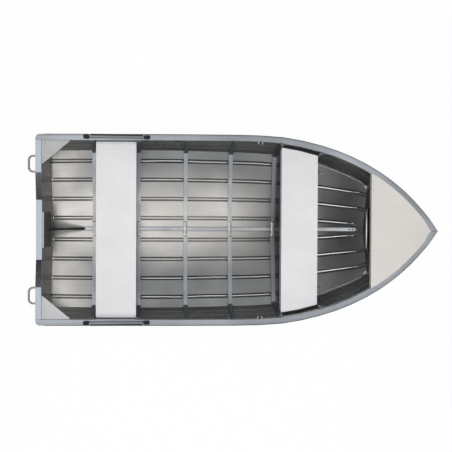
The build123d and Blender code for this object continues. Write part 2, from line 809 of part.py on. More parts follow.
def handle_shape():
    """Bent tube handle with two foot plates on the outer face of the transom."""
    half = HANDLE_SPAN / 2
    face = transom_x(HANDLE_HEIGHT) - (TRANSOM_SHEET + SEAT_GAP) / cos(transom_tilt)
    z = HANDLE_HEIGHT - DRAFT
    back = face - HANDLE_REACH
    cut = HANDLE_BEND
    inset = cut * (1 - cos(pi / 4))
    leg = [(face - 1, -half), (back + cut, -half), (back + inset, inset - half), (back, cut - half)]
    line = leg + [(x, -y) for x, y in leg[::-1]]
    path = Polyline([(x, HANDLE_CENTRE + y, z) for x, y in line])
    ring = Plane(path @ 0, z_dir=path % 0) * RegularPolygon(HANDLE_TUBE / 2, HANDLE_SIDES)
    tube = sweep(ring, path=path, transition=Transition.RIGHT)
    shape = tube
    for y in (HANDLE_CENTRE - half, HANDLE_CENTRE + half):
        start = Vector(transom_x(HANDLE_HEIGHT), y, z) + transom_out * (TRANSOM_SHEET + SEAT_GAP)
        plane = Plane(start, z_dir=transom_out)
        plate = plane * RegularPolygon(HANDLE_FOOT / 2, HANDLE_SIDES)
        shape = shape + extrude(plate, HANDLE_FOOT_THICKNESS)
    start = Vector(transom_x(HANDLE_HEIGHT), HANDLE_CENTRE, z)
    sheet = Plane(start + transom_out * (TRANSOM_SHEET + SEAT_GAP), z_dir=-transom_out)
    return shape - sheet * Box(400, 400, 60, align=(Align.CENTER, Align.CENTER, Align.MIN))


handle = handle_shape()


def bung_shape():
    """Drain bung: flanged plug through the transom close to the keel."""
    start = Vector(transom_x(BUNG_HEIGHT), BUNG_SIDE, BUNG_HEIGHT - DRAFT)
    inside = Plane(start - transom_out * SEAT_GAP, z_dir=-transom_out)
    flange = extrude(inside * RegularPolygon(BUNG_FLANGE / 2, BUNG_SIDES), BUNG_THICKNESS)
    plane = Plane(start - transom_out * SEAT_GAP, z_dir=transom_out)
    ring = plane * RegularPolygon(BUNG_BORE / 2 - SEAT_GAP, BUNG_SIDES)
    plug = extrude(ring, SEAT_GAP + TRANSOM_SHEET + BUNG_STICK_OUT)
    return flange + plug


def bung_hole():
    """Hole in the transom for the drain bung."""
    start = Vector(transom_x(BUNG_HEIGHT), BUNG_SIDE, BUNG_HEIGHT - DRAFT)
    return Plane(start, z_dir=transom_out) * Cylinder(BUNG_BORE / 2, 40)


bung = bung_shape()
transom = transom - bung_hole()


# Thwarts


def seat_frame(seat):
    """Folded seat section from plug to plug."""
    wall = FRAME_SHEET
    low = seat.top - SEAT_APRON
    corners = [
        (seat.aft, seat.top),
        (seat.aft, low),
        (seat.aft + SEAT_RETURN, low),
        (seat.aft + SEAT_RETURN, low + wall),
        (seat.aft + wall, low + wall),
        (seat.aft + wall, seat.top - wall),
        (seat.fore - wall, seat.top - wall),
        (seat.fore - wall, low + wall),
        (seat.fore - SEAT_RETURN, low + wall),
        (seat.fore - SEAT_RETURN, low),
        (seat.fore, low),
        (seat.fore, seat.top),
    ]
    return side_prism(corners, (-FAR, FAR)) & inner_hull(SEAT_GAP + seat.plug)


def seat_plug(seat):
    """Black plug between the port end of a seat and the side sheet."""
    whole = block((seat.aft, seat.fore), (0, FAR), (seat.top - SEAT_APRON, seat.top))
    return (whole & rib_seat) - inner_hull(seat.plug)


# Bow


def deck_outlines():
    """Sections of the deck plate, which lies on both gunwales but for its two ends."""
    low = 2 * SEAT_GAP + GUNWALE_WALL
    tucked = -GUNWALE_IN - SEAT_GAP
    lapping = DECK_LAP - GUNWALE_IN
    narrow = gunwale_outlines([(tucked, low + FRAME_SHEET), (tucked, low)])
    wide = gunwale_outlines([(lapping, low + FRAME_SHEET), (lapping, low)])
    outlines = []
    for number, inner, outer in zip(row_numbers(0, LAST_ROW), narrow, wide):
        if number >= DECK_FIRST_ROW:
            laps = DECK_FIRST_ROW + 1 <= number <= LAST_ROW - 0.5
            edge = outer if laps else inner
            port = [Vector(corner.X, max(corner.Y, DECK_NOSE / 2), corner.Z) for corner in edge]
            other = [Vector(corner.X, -corner.Y, corner.Z) for corner in port]
            outlines.append(port + other[::-1])
    return outlines


gunwale_top = SEAT_GAP + GUNWALE_WALL
deck_plate = ruled(deck_outlines()) & block((DECK_AFT_EDGE, FAR), (-FAR, FAR), (-FAR, FAR))
deck_level = height_of_sheer(DECK_AFT_EDGE) + gunwale_top + 2 * SEAT_GAP
apron = block(
    (DECK_AFT_EDGE, DECK_AFT_EDGE + FRAME_SHEET),
    (-FAR, FAR),
    (deck_level - DECK_APRON, deck_level),
)
both_gunwales = gunwale_space + starboard(gunwale_space)
foredeck = deck_plate + ((apron & inner_hull(2 * SEAT_GAP, head=20)) - both_gunwales)


def bulkhead_shape():
    """Plate across the bow with a lipped opening into the locker."""
    span = (BULKHEAD_POSITION, BULKHEAD_POSITION + FRAME_SHEET)
    top = height_of_sheer(BULKHEAD_POSITION) + gunwale_top
    plate = (block(span, (-FAR, FAR), (0, top)) & inner_hull(SEAT_GAP, head=20)) - both_gunwales
    middle = (LOCKER_SILL + LOCKER_HEAD) / 2 - DRAFT
    plane = Plane((BULKHEAD_POSITION - LOCKER_LIP, 0, middle), x_dir=(0, 1, 0), z_dir=(1, 0, 0))
    width = 2 * LOCKER_HALF_WIDTH
    height = LOCKER_HEAD - LOCKER_SILL
    wall = FRAME_SHEET
    outer = plane * RectangleRounded(width + 2 * wall, height + 2 * wall, LOCKER_CORNER + wall)
    inner = plane * RectangleRounded(width, height, LOCKER_CORNER)
    sleeve = extrude(outer, LOCKER_LIP + wall)
    hole = extrude(inner, LOCKER_LIP + 20)
    return (plate + sleeve) - hole


bulkhead = bulkhead_shape()


def bow_eye_shape():
    """Round bar bent to an eye, its legs let into the stem bar."""
    rows = [offsets_at(number) for number in row_numbers(0, LAST_ROW)]
    line = [(row.keel_x, row.keel_z) for row in rows]
    line.append((rows[-1].sheer_x, rows[-1].sheer_z))
    (x0, z0), (x1, z1) = line[-2], line[-1]
    run = Vector(x1 - x0, 0, z1 - z0).normalized()
    out = Vector(run.Z, 0, -run.X)
    share = (BOW_EYE_HEIGHT - z0) / (z1 - z0)
    base = Vector(x0 + (x1 - x0) * share, 0, BOW_EYE_HEIGHT - DRAFT)
    start = base + out * (SEAT_GAP + STEM_BAR_DEPTH + SEAT_GAP)
    pad_plane = Plane(start, x_dir=run, z_dir=out)
    pad = pad_plane * Box(
        2 * BOW_EYE_RADIUS + 26,
        STEM_BAR_WIDTH,
        3,
        align=(Align.CENTER, Align.CENTER, Align.MIN),
    )
    centre = start + out * 3
    ring = []
    for step in range(BOW_EYE_STEPS + 1):
        turn = pi * (step / BOW_EYE_STEPS) * 1.08 - 0.04 * pi
        ring.append(centre + run * (BOW_EYE_RADIUS * cos(turn)) + out * (BOW_EYE_RADIUS * sin(turn)))
    path = Polyline(ring)
    rod = Plane(path @ 0, z_dir=path % 0) * RegularPolygon(BOW_EYE_ROD / 2, BOW_EYE_SIDES)
    ring = sweep(rod, path=path, transition=Transition.RIGHT)
    front = pad_plane * Pos(0, 0, 1.5) * Box(
        200, 200, 200, align=(Align.CENTER, Align.CENTER, Align.MIN)
    )
    return pad + (ring & front)


bow_eye = bow_eye_shape()


# Fittings on the gunwale


def side_rail(position):
    """Straight bar over the gunwale, held at both ends."""
    height = height_of_sheer(position) + gunwale_top + RAIL_LIFT
    half = RAIL_LENGTH / 2
    centre = offsets_at(1.0).sheer_y + (GUNWALE_OUT - GUNWALE_IN) / 2
    bar = block(
        (position - half, position + half),
        (centre - RAIL_WIDTH / 2, centre + RAIL_WIDTH / 2),
        (height, height + RAIL_THICKNESS),
    )
    return fillet(bar.edges().filter_by(Axis.X), 4)


def rail_bracket(position, direction):
    """Black bracket that grips one end of the side rail."""
    x = position + direction * (RAIL_LENGTH / 2)
    base = height_of_sheer(x) + gunwale_top + 2 * SEAT_GAP
    centre = offsets_at(1.0).sheer_y + (GUNWALE_OUT - GUNWALE_IN) / 2
    outer = block(
        (x - BRACKET_LENGTH / 2, x + BRACKET_LENGTH / 2),
        (centre - BRACKET_WIDTH / 2, centre + BRACKET_WIDTH / 2),
        (base, base + BRACKET_HEIGHT),
    )
    outer = chamfer(outer.edges().filter_by(Axis.Z), 8)
    outer = chamfer(outer.faces().sort_by(Axis.Z)[-1].edges(), 3)
    height = height_of_sheer(position) + gunwale_top + RAIL_LIFT
    slot_end = x + direction * SEAT_GAP
    slot_start = x - direction * BRACKET_LENGTH
    slot = block(
        (min(slot_start, slot_end), max(slot_start, slot_end)),
        (centre - RAIL_WIDTH / 2 - SEAT_GAP, centre + RAIL_WIDTH / 2 + SEAT_GAP),
        (height - SEAT_GAP, height + RAIL_THICKNESS + SEAT_GAP),
    )
    return outer - slot


def rowlock_shape():
    """Socket block on the inner lip of the gunwale, bored for the rowlock pin."""
    here = height_of_sheer(ROWLOCK_POSITION)
    row = offsets_at(3.5)
    lip = row.sheer_y - GUNWALE_IN + 2
    top = here + gunwale_top - 1
    body = block(
        (ROWLOCK_POSITION - ROWLOCK_LENGTH / 2, ROWLOCK_POSITION + ROWLOCK_LENGTH / 2),
        (lip - ROWLOCK_WIDTH - 2, lip),
        (top - ROWLOCK_HEIGHT, top),
    )
    inner_edges = body.edges().filter_by(Axis.Z).sort_by(Axis.Y)[:2]
    body = chamfer(inner_edges, 7)
    middle = lip - 2 - ROWLOCK_WIDTH / 2
    bore = Pos(ROWLOCK_POSITION, middle, top - DRAFT) * Cylinder(ROWLOCK_BORE / 2, 200)
    return body - bore - gunwale_space


rowlock = rowlock_shape()

save("bottom_panel_port", bottom_panel)
save("bottom_panel_starboard", starboard(bottom_panel))
save("side_panel_port", side_panel)
save("side_panel_starboard", starboard(side_panel))
save("gunwale_port", *gunwale)
save("gunwale_starboard", *[starboard(length) for length in gunwale])
save("chine_rail_port", chine_rail)
save("chine_rail_starboard", starboard(chine_rail))
save("keel_bar", keel_bar)
save("stem_bar", stem_bar)
save("keelson", keelson)
for index, position in enumerate(RIB_POSITIONS):
    save(f"rib_{index + 1}", rib(position))
save("transom", transom)
save("transom_cap", transom_cap)
save("motor_pad_inner", inner_pad)
save("motor_pad_outer", outer_pad)
save("transom_knee", knee)
save("stern_gusset_port", gusset)
save("stern_gusset_starboard", starboard(gusset))
save("transom_handle_port", handle)
save("transom_handle_starboard", starboard(handle))
save("drain_bung", bung)
for seat in SEATS:
    save(f"seat_{seat.name}", seat_frame(seat))
    plug = seat_plug(seat)
    save(f"seat_{seat.name}_plug_port", plug)
    save(f"seat_{seat.name}_plug_starboard", starboard(plug))
save("bow_bulkhead", bulkhead)
save("foredeck", foredeck)
save("bow_eye", bow_eye)
rail = side_rail(RAIL_CENTRE)
save("side_rail_port", rail)
save("side_rail_starboard", starboard(rail))
for end, direction in (("aft", -1), ("fore", 1)):
    bracket = rail_bracket(RAIL_CENTRE, direction)
    save(f"rail_bracket_{end}_port", bracket)
    save(f"rail_bracket_{end}_starboard", starboard(bracket))
save("rowlock_block_port", rowlock)
save("rowlock_block_starboard", starboard(rowlock))
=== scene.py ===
import json
from math import cos, pi, radians, sin

import bmesh
import bpy
from bpy.props import (
    BoolProperty,
    FloatProperty,
    FloatVectorProperty,
    IntProperty,
    PointerProperty,
)
from mathutils import Matrix, Vector
from mathutils.bvhtree import BVHTree


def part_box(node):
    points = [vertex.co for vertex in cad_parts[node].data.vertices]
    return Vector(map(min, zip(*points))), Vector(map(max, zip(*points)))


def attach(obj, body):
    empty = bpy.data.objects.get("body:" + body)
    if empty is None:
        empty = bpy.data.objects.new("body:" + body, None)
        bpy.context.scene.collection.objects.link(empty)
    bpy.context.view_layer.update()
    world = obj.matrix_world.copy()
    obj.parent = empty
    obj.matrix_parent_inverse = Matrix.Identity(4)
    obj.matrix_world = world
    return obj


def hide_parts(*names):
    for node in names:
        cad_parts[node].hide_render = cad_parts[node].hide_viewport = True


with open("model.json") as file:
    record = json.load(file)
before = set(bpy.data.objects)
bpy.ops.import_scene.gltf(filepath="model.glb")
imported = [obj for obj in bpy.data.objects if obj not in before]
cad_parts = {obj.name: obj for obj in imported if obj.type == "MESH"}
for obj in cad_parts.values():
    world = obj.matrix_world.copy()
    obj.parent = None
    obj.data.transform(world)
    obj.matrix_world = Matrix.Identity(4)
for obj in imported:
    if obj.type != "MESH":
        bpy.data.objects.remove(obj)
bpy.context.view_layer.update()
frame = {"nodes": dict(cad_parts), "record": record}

bl_info = {
    "name": "Open Dinghy",
    "version": (1, 0, 0),
    "blender": (4, 5, 0),
    "location": "View3D > Sidebar > Dinghy",
    "description": "Materials, rivets and fittings of an open aluminium dinghy",
    "category": "Object",
}

IMAGE_WIDTH = 452
SENSOR_WIDTH = 36

SIDES = (("port", 1), ("starboard", -1))
RIBS = range(1, 7)

AHEAD = Vector((1, 0, 0))
ACROSS = Vector((0, 1, 0))
UP = Vector((0, 0, 1))

# The raked transom: its outward normal, and how far it runs ahead for each metre down
RAKE_AFT, RAKE_DOWN = 0.987067, 0.160308
TRANSOM_OUT = Vector((-RAKE_AFT, 0, -RAKE_DOWN))
TRANSOM_SLOPE = RAKE_DOWN / RAKE_AFT


# Settings


def colour_setting(name, description, default):
    """Colour that a user may change."""
    return FloatVectorProperty(
        name=name, description=description, subtype="COLOR", size=3, min=0, max=1,
        default=default)


def length_setting(name, description, default):
    """Length in metres that a user may change."""
    return FloatProperty(
        name=name, description=description, subtype="DISTANCE", unit="LENGTH", default=default)


def angle_setting(name, description, degrees):
    """Angle that a user may change, its default in degrees."""
    return FloatProperty(
        name=name, description=description, subtype="ANGLE", default=radians(degrees))


def brightness_setting(name, description, default):
    """Brightness that a user may change, one being white."""
    return FloatProperty(name=name, description=description, default=default)


class DinghySheet(bpy.types.PropertyGroup):
    """Look of the bare and coated sheet metal."""

    hull_colour: colour_setting(
        "Bottom sheet", "Colour of the bare bottom sheet", (0.90, 0.87, 0.83))
    side_colour: colour_setting(
        "Side sheet", "Colour of the duller side sheets, transom and bulkhead", (0.60, 0.605, 0.60))
    frame_colour: colour_setting(
        "Frames", "Colour of the ribs", (0.80, 0.825, 0.85))
    extrusion_colour: colour_setting(
        "Extrusions", "Colour of gunwales, chine rails and keel", (0.47, 0.50, 0.54))
    bright_colour: colour_setting(
        "Bright sheet", "Colour of the stern gussets", (0.62, 0.625, 0.635))
    cap_colour: colour_setting(
        "Transom cap", "Colour of the extrusion over the transom", (0.385, 0.415, 0.465))
    seat_colour: colour_setting(
        "Seats", "Colour of the coated seats", (0.795, 0.795, 0.81))
    deck_colour: colour_setting(
        "Foredeck", "Colour of the coated foredeck", (0.70, 0.675, 0.635))
    hull_roughness: FloatProperty(
        name="Bottom roughness", description="Roughness of the bare bottom sheet",
        subtype="FACTOR", min=0, max=1, default=0.33)
    smooth_angle: angle_setting(
        "Smooth angle", "Facets that meet below this angle are shaded as one", 9.5)


class DinghyRivets(bpy.types.PropertyGroup):
    """Rivets of the hull."""

    radius: length_setting("Radius", "Radius of a rivet head", 0.0042)
    height: length_setting("Height", "Height of a rivet head", 0.0018)
    pitch: length_setting("Pitch", "Distance between rivets in a seam", 0.038)
    sides: IntProperty(name="Sides", description="Corners round a rivet head", default=8)


class DinghyFittings(bpy.types.PropertyGroup):
    """Handles, bow eye and screws."""

    tube_radius: length_setting("Handle tube", "Radius of the stern handle's tube", 0.0098)
    bend_radius: length_setting("Handle bend", "Radius of the handle's bends", 0.038)
    eye_radius: length_setting("Bow eye rod", "Radius of the bow eye's rod", 0.005)
    show_screws: BoolProperty(
        name="Screws", description="Screws on the rail brackets and rowlock blocks",
        default=True)


class DinghyStage(bpy.types.PropertyGroup):
    """Camera, light and sky."""

    camera_height: length_setting("Camera height", "Height of the camera over the water", 7.694)
    camera_x: length_setting("Camera position", "Position of the camera along the boat", -0.795)
    camera_y: length_setting("Camera offset", "Position of the camera across the boat", 0.17)
    tilt: angle_setting("Tilt", "Lean of the view towards the bow", 5.622)
    lean: angle_setting("Lean", "Lean of the view towards starboard", 1.04)
    roll: angle_setting("Roll", "Turn of the camera about its view", -0.28)
    pixels_focal: FloatProperty(
        name="Focal length in pixels", description="Focal length over the pixel size",
        default=822.86)
    key_power: FloatProperty(
        name="Key light", description="Power of the overhead soft light",
        subtype="POWER", unit="POWER", default=285)
    ceiling: brightness_setting("Ceiling", "Brightness of the studio ceiling", 1.3)
    walls: brightness_setting("Walls", "Brightness of the studio's upper walls", 0.13)
    band: brightness_setting("Wall band", "Extra brightness of the walls halfway up", 0.32)
    horizon: brightness_setting("Horizon", "Brightness of the studio near the floor", 1.0)
    ceiling_core: angle_setting(
        "Ceiling core", "Half angle of the evenly bright part of the ceiling", 14)
    ceiling_edge: angle_setting(
        "Ceiling edge", "Half angle at which the ceiling has faded to the walls", 22.5)
    ceiling_centre: FloatVectorProperty(
        name="Ceiling centre", description="Direction of the middle of the ceiling",
        size=3, default=(-0.08, -0.03, 1.0))


# Shader nodes


def add(tree, kind, sockets=(), **settings):
    """New node with its settings; (socket, value) pairs are linked or set."""
    node = tree.nodes.new(kind)
    for key, value in settings.items():
        setattr(node, key, value)
    for key, value in sockets:
        if isinstance(value, bpy.types.NodeSocket):
            tree.links.new(value, node.inputs[key])
        else:
            node.inputs[key].default_value = value
    return node


def maths(tree, operation, *values):
    """Result of an operation on numbers or sockets."""
    return add(tree, "ShaderNodeMath", enumerate(values), operation=operation).outputs[0]


def noise(tree, place, scale, detail, roughness):
    """Cloudy value from 0 to 1 that changes with the place."""
    return add(
        tree, "ShaderNodeTexNoise",
        [("Vector", place), ("Scale", scale), ("Detail", detail), ("Roughness", roughness)],
    ).outputs["Fac"]


def remap(tree, value, start, end, low=0.0, high=1.0, curve="LINEAR"):
    """Value that runs from low to high while the given one runs from start to end."""
    return add(
        tree, "ShaderNodeMapRange",
        [("Value", value), ("From Min", start), ("From Max", end), ("To Min", low),
         ("To Max", high)],
        interpolation_type=curve).outputs["Result"]


def fade(tree, value, start, end, low=0.0, high=1.0):
    """Value that eases from low to high while the given one runs from start to end."""
    return remap(tree, value, start, end, low, high, "SMOOTHSTEP")


def mixed(tree, share, first, second, kind="RGBA", blend="MIX"):
    """Mix of two colours or, with kind FLOAT, of two values."""
    return add(
        tree, "ShaderNodeMix", [("Factor", share), ("A", first), ("B", second)],
        data_type=kind, blend_type=blend).outputs["Result"]


def ramp(tree, value, low, high):
    """Colour between two stops, each a position and a colour."""
    node = add(tree, "ShaderNodeValToRGB", [("Fac", value)])
    for stop, (position, colour) in zip(node.color_ramp.elements, (low, high)):
        stop.position = position
        stop.color = (*colour, 1)
    return node.outputs["Color"]


def object_place(tree):
    """Place on the object, in metres."""
    return add(tree, "ShaderNodeTexCoord").outputs["Object"]


def surface_normal(tree):
    """Direction that the surface faces."""
    return add(tree, "ShaderNodeNewGeometry").outputs["Normal"]


def levelness(tree):
    """Upward part of the surface normal, one on a level top."""
    return add(tree, "ShaderNodeSeparateXYZ", [("Vector", surface_normal(tree))]).outputs["Z"]


def placed_group(tree, name, sockets=()):
    """Outputs of a node group placed in a material."""
    return add(
        tree, "ShaderNodeGroup", sockets, node_tree=bpy.data.node_groups[name]).outputs


# Shared effects


def new_group(name, inputs=None):
    """Shader node group, with its float inputs by name."""
    group = bpy.data.node_groups.new(name, "ShaderNodeTree")
    for label, default in (inputs or {}).items():
        socket = group.interface.new_socket(
            label, in_out="INPUT", socket_type="NodeSocketFloat")
        socket.default_value = default
    return group, group.nodes.new("NodeGroupInput").outputs


def put_out(group, values):
    """Float outputs of a node group, each fed by its value."""
    for label in values:
        group.interface.new_socket(label, in_out="OUTPUT", socket_type="NodeSocketFloat")
    leave = group.nodes.new("NodeGroupOutput")
    for label, value in values.items():
        group.links.new(value, leave.inputs[label])


def rolled_sheet_group():
    """Rolled sheet: long faint streaks, cloudy patches and fine specks."""
    group, enter = new_group("RolledSheet", {"Streak length": 40.0, "Cloud scale": 2.2})
    place = object_place(group)
    squash = add(
        group, "ShaderNodeCombineXYZ",
        [("X", 1.0), ("Y", enter["Streak length"]), ("Z", enter["Streak length"])])
    stretched = add(
        group, "ShaderNodeVectorMath", [(0, place), (1, squash.outputs[0])],
        operation="MULTIPLY").outputs[0]
    streaks = noise(group, stretched, scale=3.0, detail=5.0, roughness=0.6)
    clouds = noise(group, place, enter["Cloud scale"], detail=3.0, roughness=0.55)
    specks = noise(group, place, scale=160.0, detail=3.0, roughness=0.7)
    tone = maths(group, "MULTIPLY_ADD", streaks, 0.55, 0.0)
    rough = maths(group, "MULTIPLY_ADD", specks, 0.15, 0.10)
    put_out(group, {
        "Tone": maths(group, "MULTIPLY_ADD", clouds, 0.45, tone),
        "Roughness": maths(group, "MULTIPLY_ADD", clouds, 0.65, rough),
        "Height": maths(group, "MULTIPLY_ADD", specks, 0.03, streaks),
    })


def moulded_plastic_group():
    """Moulded plastic: fine pebbled texture with a little dust."""
    group, enter = new_group("MouldedPlastic", {"Scale": 900.0})
    place = object_place(group)
    pebbles = add(
        group, "ShaderNodeTexVoronoi", [("Vector", place), ("Scale", enter["Scale"])],
        feature="SMOOTH_F1")
    put_out(group, {
        "Dust": noise(group, place, scale=14.0, detail=6.0, roughness=0.7),
        "Height": pebbles.outputs["Distance"],
    })


def painted_floor_light_group():
    """Painted shade on the floor and ribs: dull metal, except where painted light falls.

    Painted light covers a band along the keel, the stern, the crests of the strakes in the bow as
    painted highlights and, a little, the flanks of the bow.
    """
    group, enter = new_group("PaintedFloorLight", {"Band centre": 0.08, "Band reach": 0.62})
    place = object_place(group)
    axes = add(group, "ShaderNodeSeparateXYZ", [("Vector", place)]).outputs
    away = maths(
        group, "ABSOLUTE", maths(group, "SUBTRACT", axes["Y"], enter["Band centre"]))
    waver = noise(group, place, scale=2.5, detail=3.0, roughness=0.5)
    away = maths(group, "MULTIPLY_ADD", waver, 0.12, away)
    band = fade(group, away, 0.11, enter["Band reach"], 1.0, 0.0)
    behind = fade(group, axes["X"], -0.15, 0.60, 1.0, 0.0)
    stern = fade(group, axes["X"], -1.75, -1.10, 1.0, 0.0)
    bow = fade(group, axes["X"], 0.55, 0.75)
    # Painted highlights on the level crests of the bow strakes and, a little, on the flanks of the
    # bow
    crest = fade(group, levelness(group), 0.965, 0.992)
    flank = fade(group, maths(group, "ABSOLUTE", axes["Y"]), 0.34, 0.44, 0.0, 0.10)
    crest_highlight = maths(group, "MULTIPLY", crest, bow)
    flank_highlight = maths(group, "MULTIPLY", flank, bow)
    painted_light = maths(group, "MULTIPLY", band, behind)
    for share in (stern, crest_highlight, flank_highlight):
        painted_light = maths(group, "MAXIMUM", painted_light, share)
    put_out(group, {"PaintedShade": maths(group, "SUBTRACT", 1.0, painted_light)})


def painted_outward_shade_group():
    """Painted shade: darker metal where a face looks away from the middle of the boat."""
    group, _ = new_group("PaintedOutwardShade")
    outward = add(
        group, "ShaderNodeVectorMath", [(0, object_place(group)), (1, (0.35, 1.0, 0.0))],
        operation="MULTIPLY").outputs[0]
    facing = add(
        group, "ShaderNodeVectorMath", [(0, outward), (1, surface_normal(group))],
        operation="DOT_PRODUCT").outputs["Value"]
    put_out(group, {"PaintedShade": remap(group, facing, -0.02, 0.02)})


def painted_slope_shade_group():
    """Painted shade: darker metal where a face leans away from level, standing for the dark
    reflection on the slopes of the transom cap.
    """
    group, _ = new_group("PaintedSlopeShade")
    put_out(group, {"PaintedShade": fade(group, levelness(group), 0.975, 0.995, 1.0, 0.0)})


# Materials


def new_material(name):
    """Material and its node tree."""
    material = bpy.data.materials.new(name)
    material.use_nodes = True
    return material, material.node_tree


def dress(tree, tone, rough, height, strength, distance):
    """Give the shader its colour, its roughness and a relief of a height."""
    relief = add(
        tree, "ShaderNodeBump",
        [("Height", height), ("Strength", strength), ("Distance", distance)])
    shader = tree.nodes["Principled BSDF"].inputs
    tree.links.new(tone, shader["Base Color"])
    tree.links.new(rough, shader["Roughness"])
    tree.links.new(relief.outputs["Normal"], shader["Normal"])


def metal(name, colour, roughness, spread=0.10, rough_spread=0.12, bump=0.12, streak=40.0,
          cloud=2.2, painted_shade=None):
    """Bare aluminium whose tone and gloss vary over the surface.

    The last argument names a mask group of painted shade, and the tint of the metal where that mask
    is one.
    """
    material, tree = new_material(name)
    tree.nodes["Principled BSDF"].inputs["Metallic"].default_value = 1.0
    grain = placed_group(tree, "RolledSheet", [("Streak length", streak), ("Cloud scale", cloud)])
    low = [channel * (1 - spread) for channel in colour]
    high = [min(channel * (1 + spread), 1) for channel in colour]
    tone = ramp(tree, grain["Tone"], (0.30, low), (0.70, high))
    # Painted shade: the tone is multiplied by the tint where the mask is one
    if painted_shade:
        mask, shade_tint = painted_shade
        shaded_tone = mixed(tree, 1.0, tone, (*shade_tint, 1), blend="MULTIPLY")
        tone = mixed(tree, placed_group(tree, mask)["PaintedShade"], tone, shaded_tone)
    rough = remap(
        tree, grain["Roughness"], 0.3, 0.7,
        max(roughness - rough_spread, 0.03), min(roughness + rough_spread, 1))
    dress(tree, tone, rough, grain["Height"], strength=bump, distance=0.0006)
    return material


def coated(name, colour, roughness=0.42):
    """Powder-coated sheet with a fine orange-peel skin."""
    material, tree = new_material(name)
    place = object_place(tree)
    clouds = noise(tree, place, scale=3.0, detail=4.0, roughness=0.6)
    peel = noise(tree, place, scale=420.0, detail=2.0, roughness=0.5)
    low = [channel * 0.95 for channel in colour]
    high = [min(channel * 1.03, 1) for channel in colour]
    tone = ramp(tree, clouds, (0.35, low), (0.65, high))
    rough = remap(tree, clouds, 0.3, 0.7, roughness - 0.06, roughness + 0.08)
    dress(tree, tone, rough, peel, strength=0.25, distance=0.0004)
    return material


def plastic(name, colour, roughness=0.55, scale=900.0, top=None):
    """Moulded plastic, or a board whose upward faces are painted paler: a painted highlight on its
    top.
    """
    material, tree = new_material(name)
    grain = placed_group(tree, "MouldedPlastic", [("Scale", scale)])
    dusty = [channel * 1.35 + 0.008 for channel in colour]
    tone = ramp(tree, grain["Dust"], (0.4, colour), (0.8, dusty))
    # Painted highlight: upward faces turn to the top colour
    if top:
        tone = mixed(tree, remap(tree, levelness(tree), 0.6, 0.8), tone, (*top, 1))
    rough = remap(tree, grain["Dust"], 0.3, 0.7, roughness - 0.08, roughness + 0.12)
    dress(tree, tone, rough, grain["Height"], strength=0.3, distance=0.0003)
    return material


# Places on the CAD nodes


def surface(*names):
    """Search tree over the faces of CAD nodes."""
    vertices, faces = [], []
    for name in names:
        mesh = frame["nodes"][name].data
        base = len(vertices)
        vertices += [vertex.co.copy() for vertex in mesh.vertices]
        faces += [[base + index for index in polygon.vertices] for polygon in mesh.polygons]
    return BVHTree.FromPolygons(vertices, faces)


def below(tree, x, y):
    """First point of a surface straight below a place, or None."""
    return tree.ray_cast(Vector((x, y, 2)), -UP)[0]


def centre_of(node):
    """Middle of a node's box."""
    low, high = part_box(node)
    return (low + high) / 2


def reach_of(node):
    """Nearest and farthest distance of a node from the centreline."""
    low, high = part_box(node)
    return sorted((abs(low.y), abs(high.y)))


def spread(start, end, pitch):
    """Evenly spaced numbers from start to end, about a pitch apart."""
    count = max(int(round(abs(end - start) / pitch)), 1)
    return [start + (end - start) * step / count for step in range(count + 1)]


def arc(centre, first, second, turn, count, start=0):
    """Points of an arc in the plane of two radii, through a turn from the first."""
    angles = [start + turn * step / count for step in range(count + 1)]
    return [centre + first * cos(angle) + second * sin(angle) for angle in angles]


# Shapes added to a bmesh


def join_rings(work, rings, capped=True):
    """Faces from ring to ring, and over the first and the last one."""
    for lower, upper in zip(rings, rings[1:]):
        for step, corner in enumerate(lower):
            after = (step + 1) % len(lower)
            work.faces.new((corner, lower[after], upper[after], upper[step]))
    if capped:
        work.faces.new(rings[0][::-1])
        work.faces.new(rings[-1])


def add_ring(work, centre, first, second, sides):
    """Vertices of a circle, from two radii at right angles."""
    points = arc(centre, first, second, 2 * pi, sides)[:-1]
    return [work.verts.new(point) for point in points]


def add_turned(work, centre, normal, profile, sides):
    """Rings round a normal, from (radius, height) pairs."""
    turn = normal.to_track_quat("Z", "Y").to_matrix()
    return [
        add_ring(work, centre + normal * height, turn.col[0] * radius, turn.col[1] * radius, sides)
        for radius, height in profile
    ]


def add_disc(work, centre, normal, radius, thickness, sides=24, bevel=0.25):
    """Flat round plate with a bevelled rim; bevel is a share of its thickness."""
    rim = thickness * bevel
    profile = ((radius, 0), (radius, thickness - rim), (radius - rim * 2, thickness))
    join_rings(work, add_turned(work, centre, normal, profile, sides))


def add_tube(work, points, radius, sides=20, capped=True):
    """Round tube along points."""
    rings = []
    side = None
    for index, point in enumerate(points):
        run = (points[min(index + 1, len(points) - 1)] - points[max(index - 1, 0)]).normalized()
        side = side or run.orthogonal()
        side = (side - run * side.dot(run)).normalized()
        rings.append(add_ring(work, point, side * radius, run.cross(side) * radius, sides))
    join_rings(work, rings, capped)


def add_bar(work, points, across, up, width, height):
    """Bar of rectangular section along points, which run in the middle of its foot."""
    corners = ((-0.5, 0), (0.5, 0), (0.5, 1), (-0.5, 1))
    join_rings(work, [
        [work.verts.new(point + across * (side * width) + up * (rise * height))
         for side, rise in corners]
        for point in points
    ])


def add_draped_plate(work, tree, across, along, lift, thickness):
    """Thin plate that follows the top of a surface, over a grid of places."""
    feet = [[below(tree, x, y) for y in along] for x in across]
    layers = [
        [[work.verts.new(foot + UP * rise) for foot in row] for row in feet]
        for rise in (lift, lift + thickness)
    ]
    rims = []
    for layer in layers:
        for near, far in zip(layer, layer[1:]):
            for step in range(len(along) - 1):
                work.faces.new((near[step], far[step], far[step + 1], near[step + 1]))
        rims.append(
            layer[0][:-1] + [row[-1] for row in layer[:-1]]
            + layer[-1][:0:-1] + [row[0] for row in layer[:0:-1]])
    join_rings(work, rims, capped=False)


def split_edges(obj, angle):
    """Shade facets that meet at less than the angle as one surface."""
    obj.modifiers.new("Split", "EDGE_SPLIT").split_angle = angle


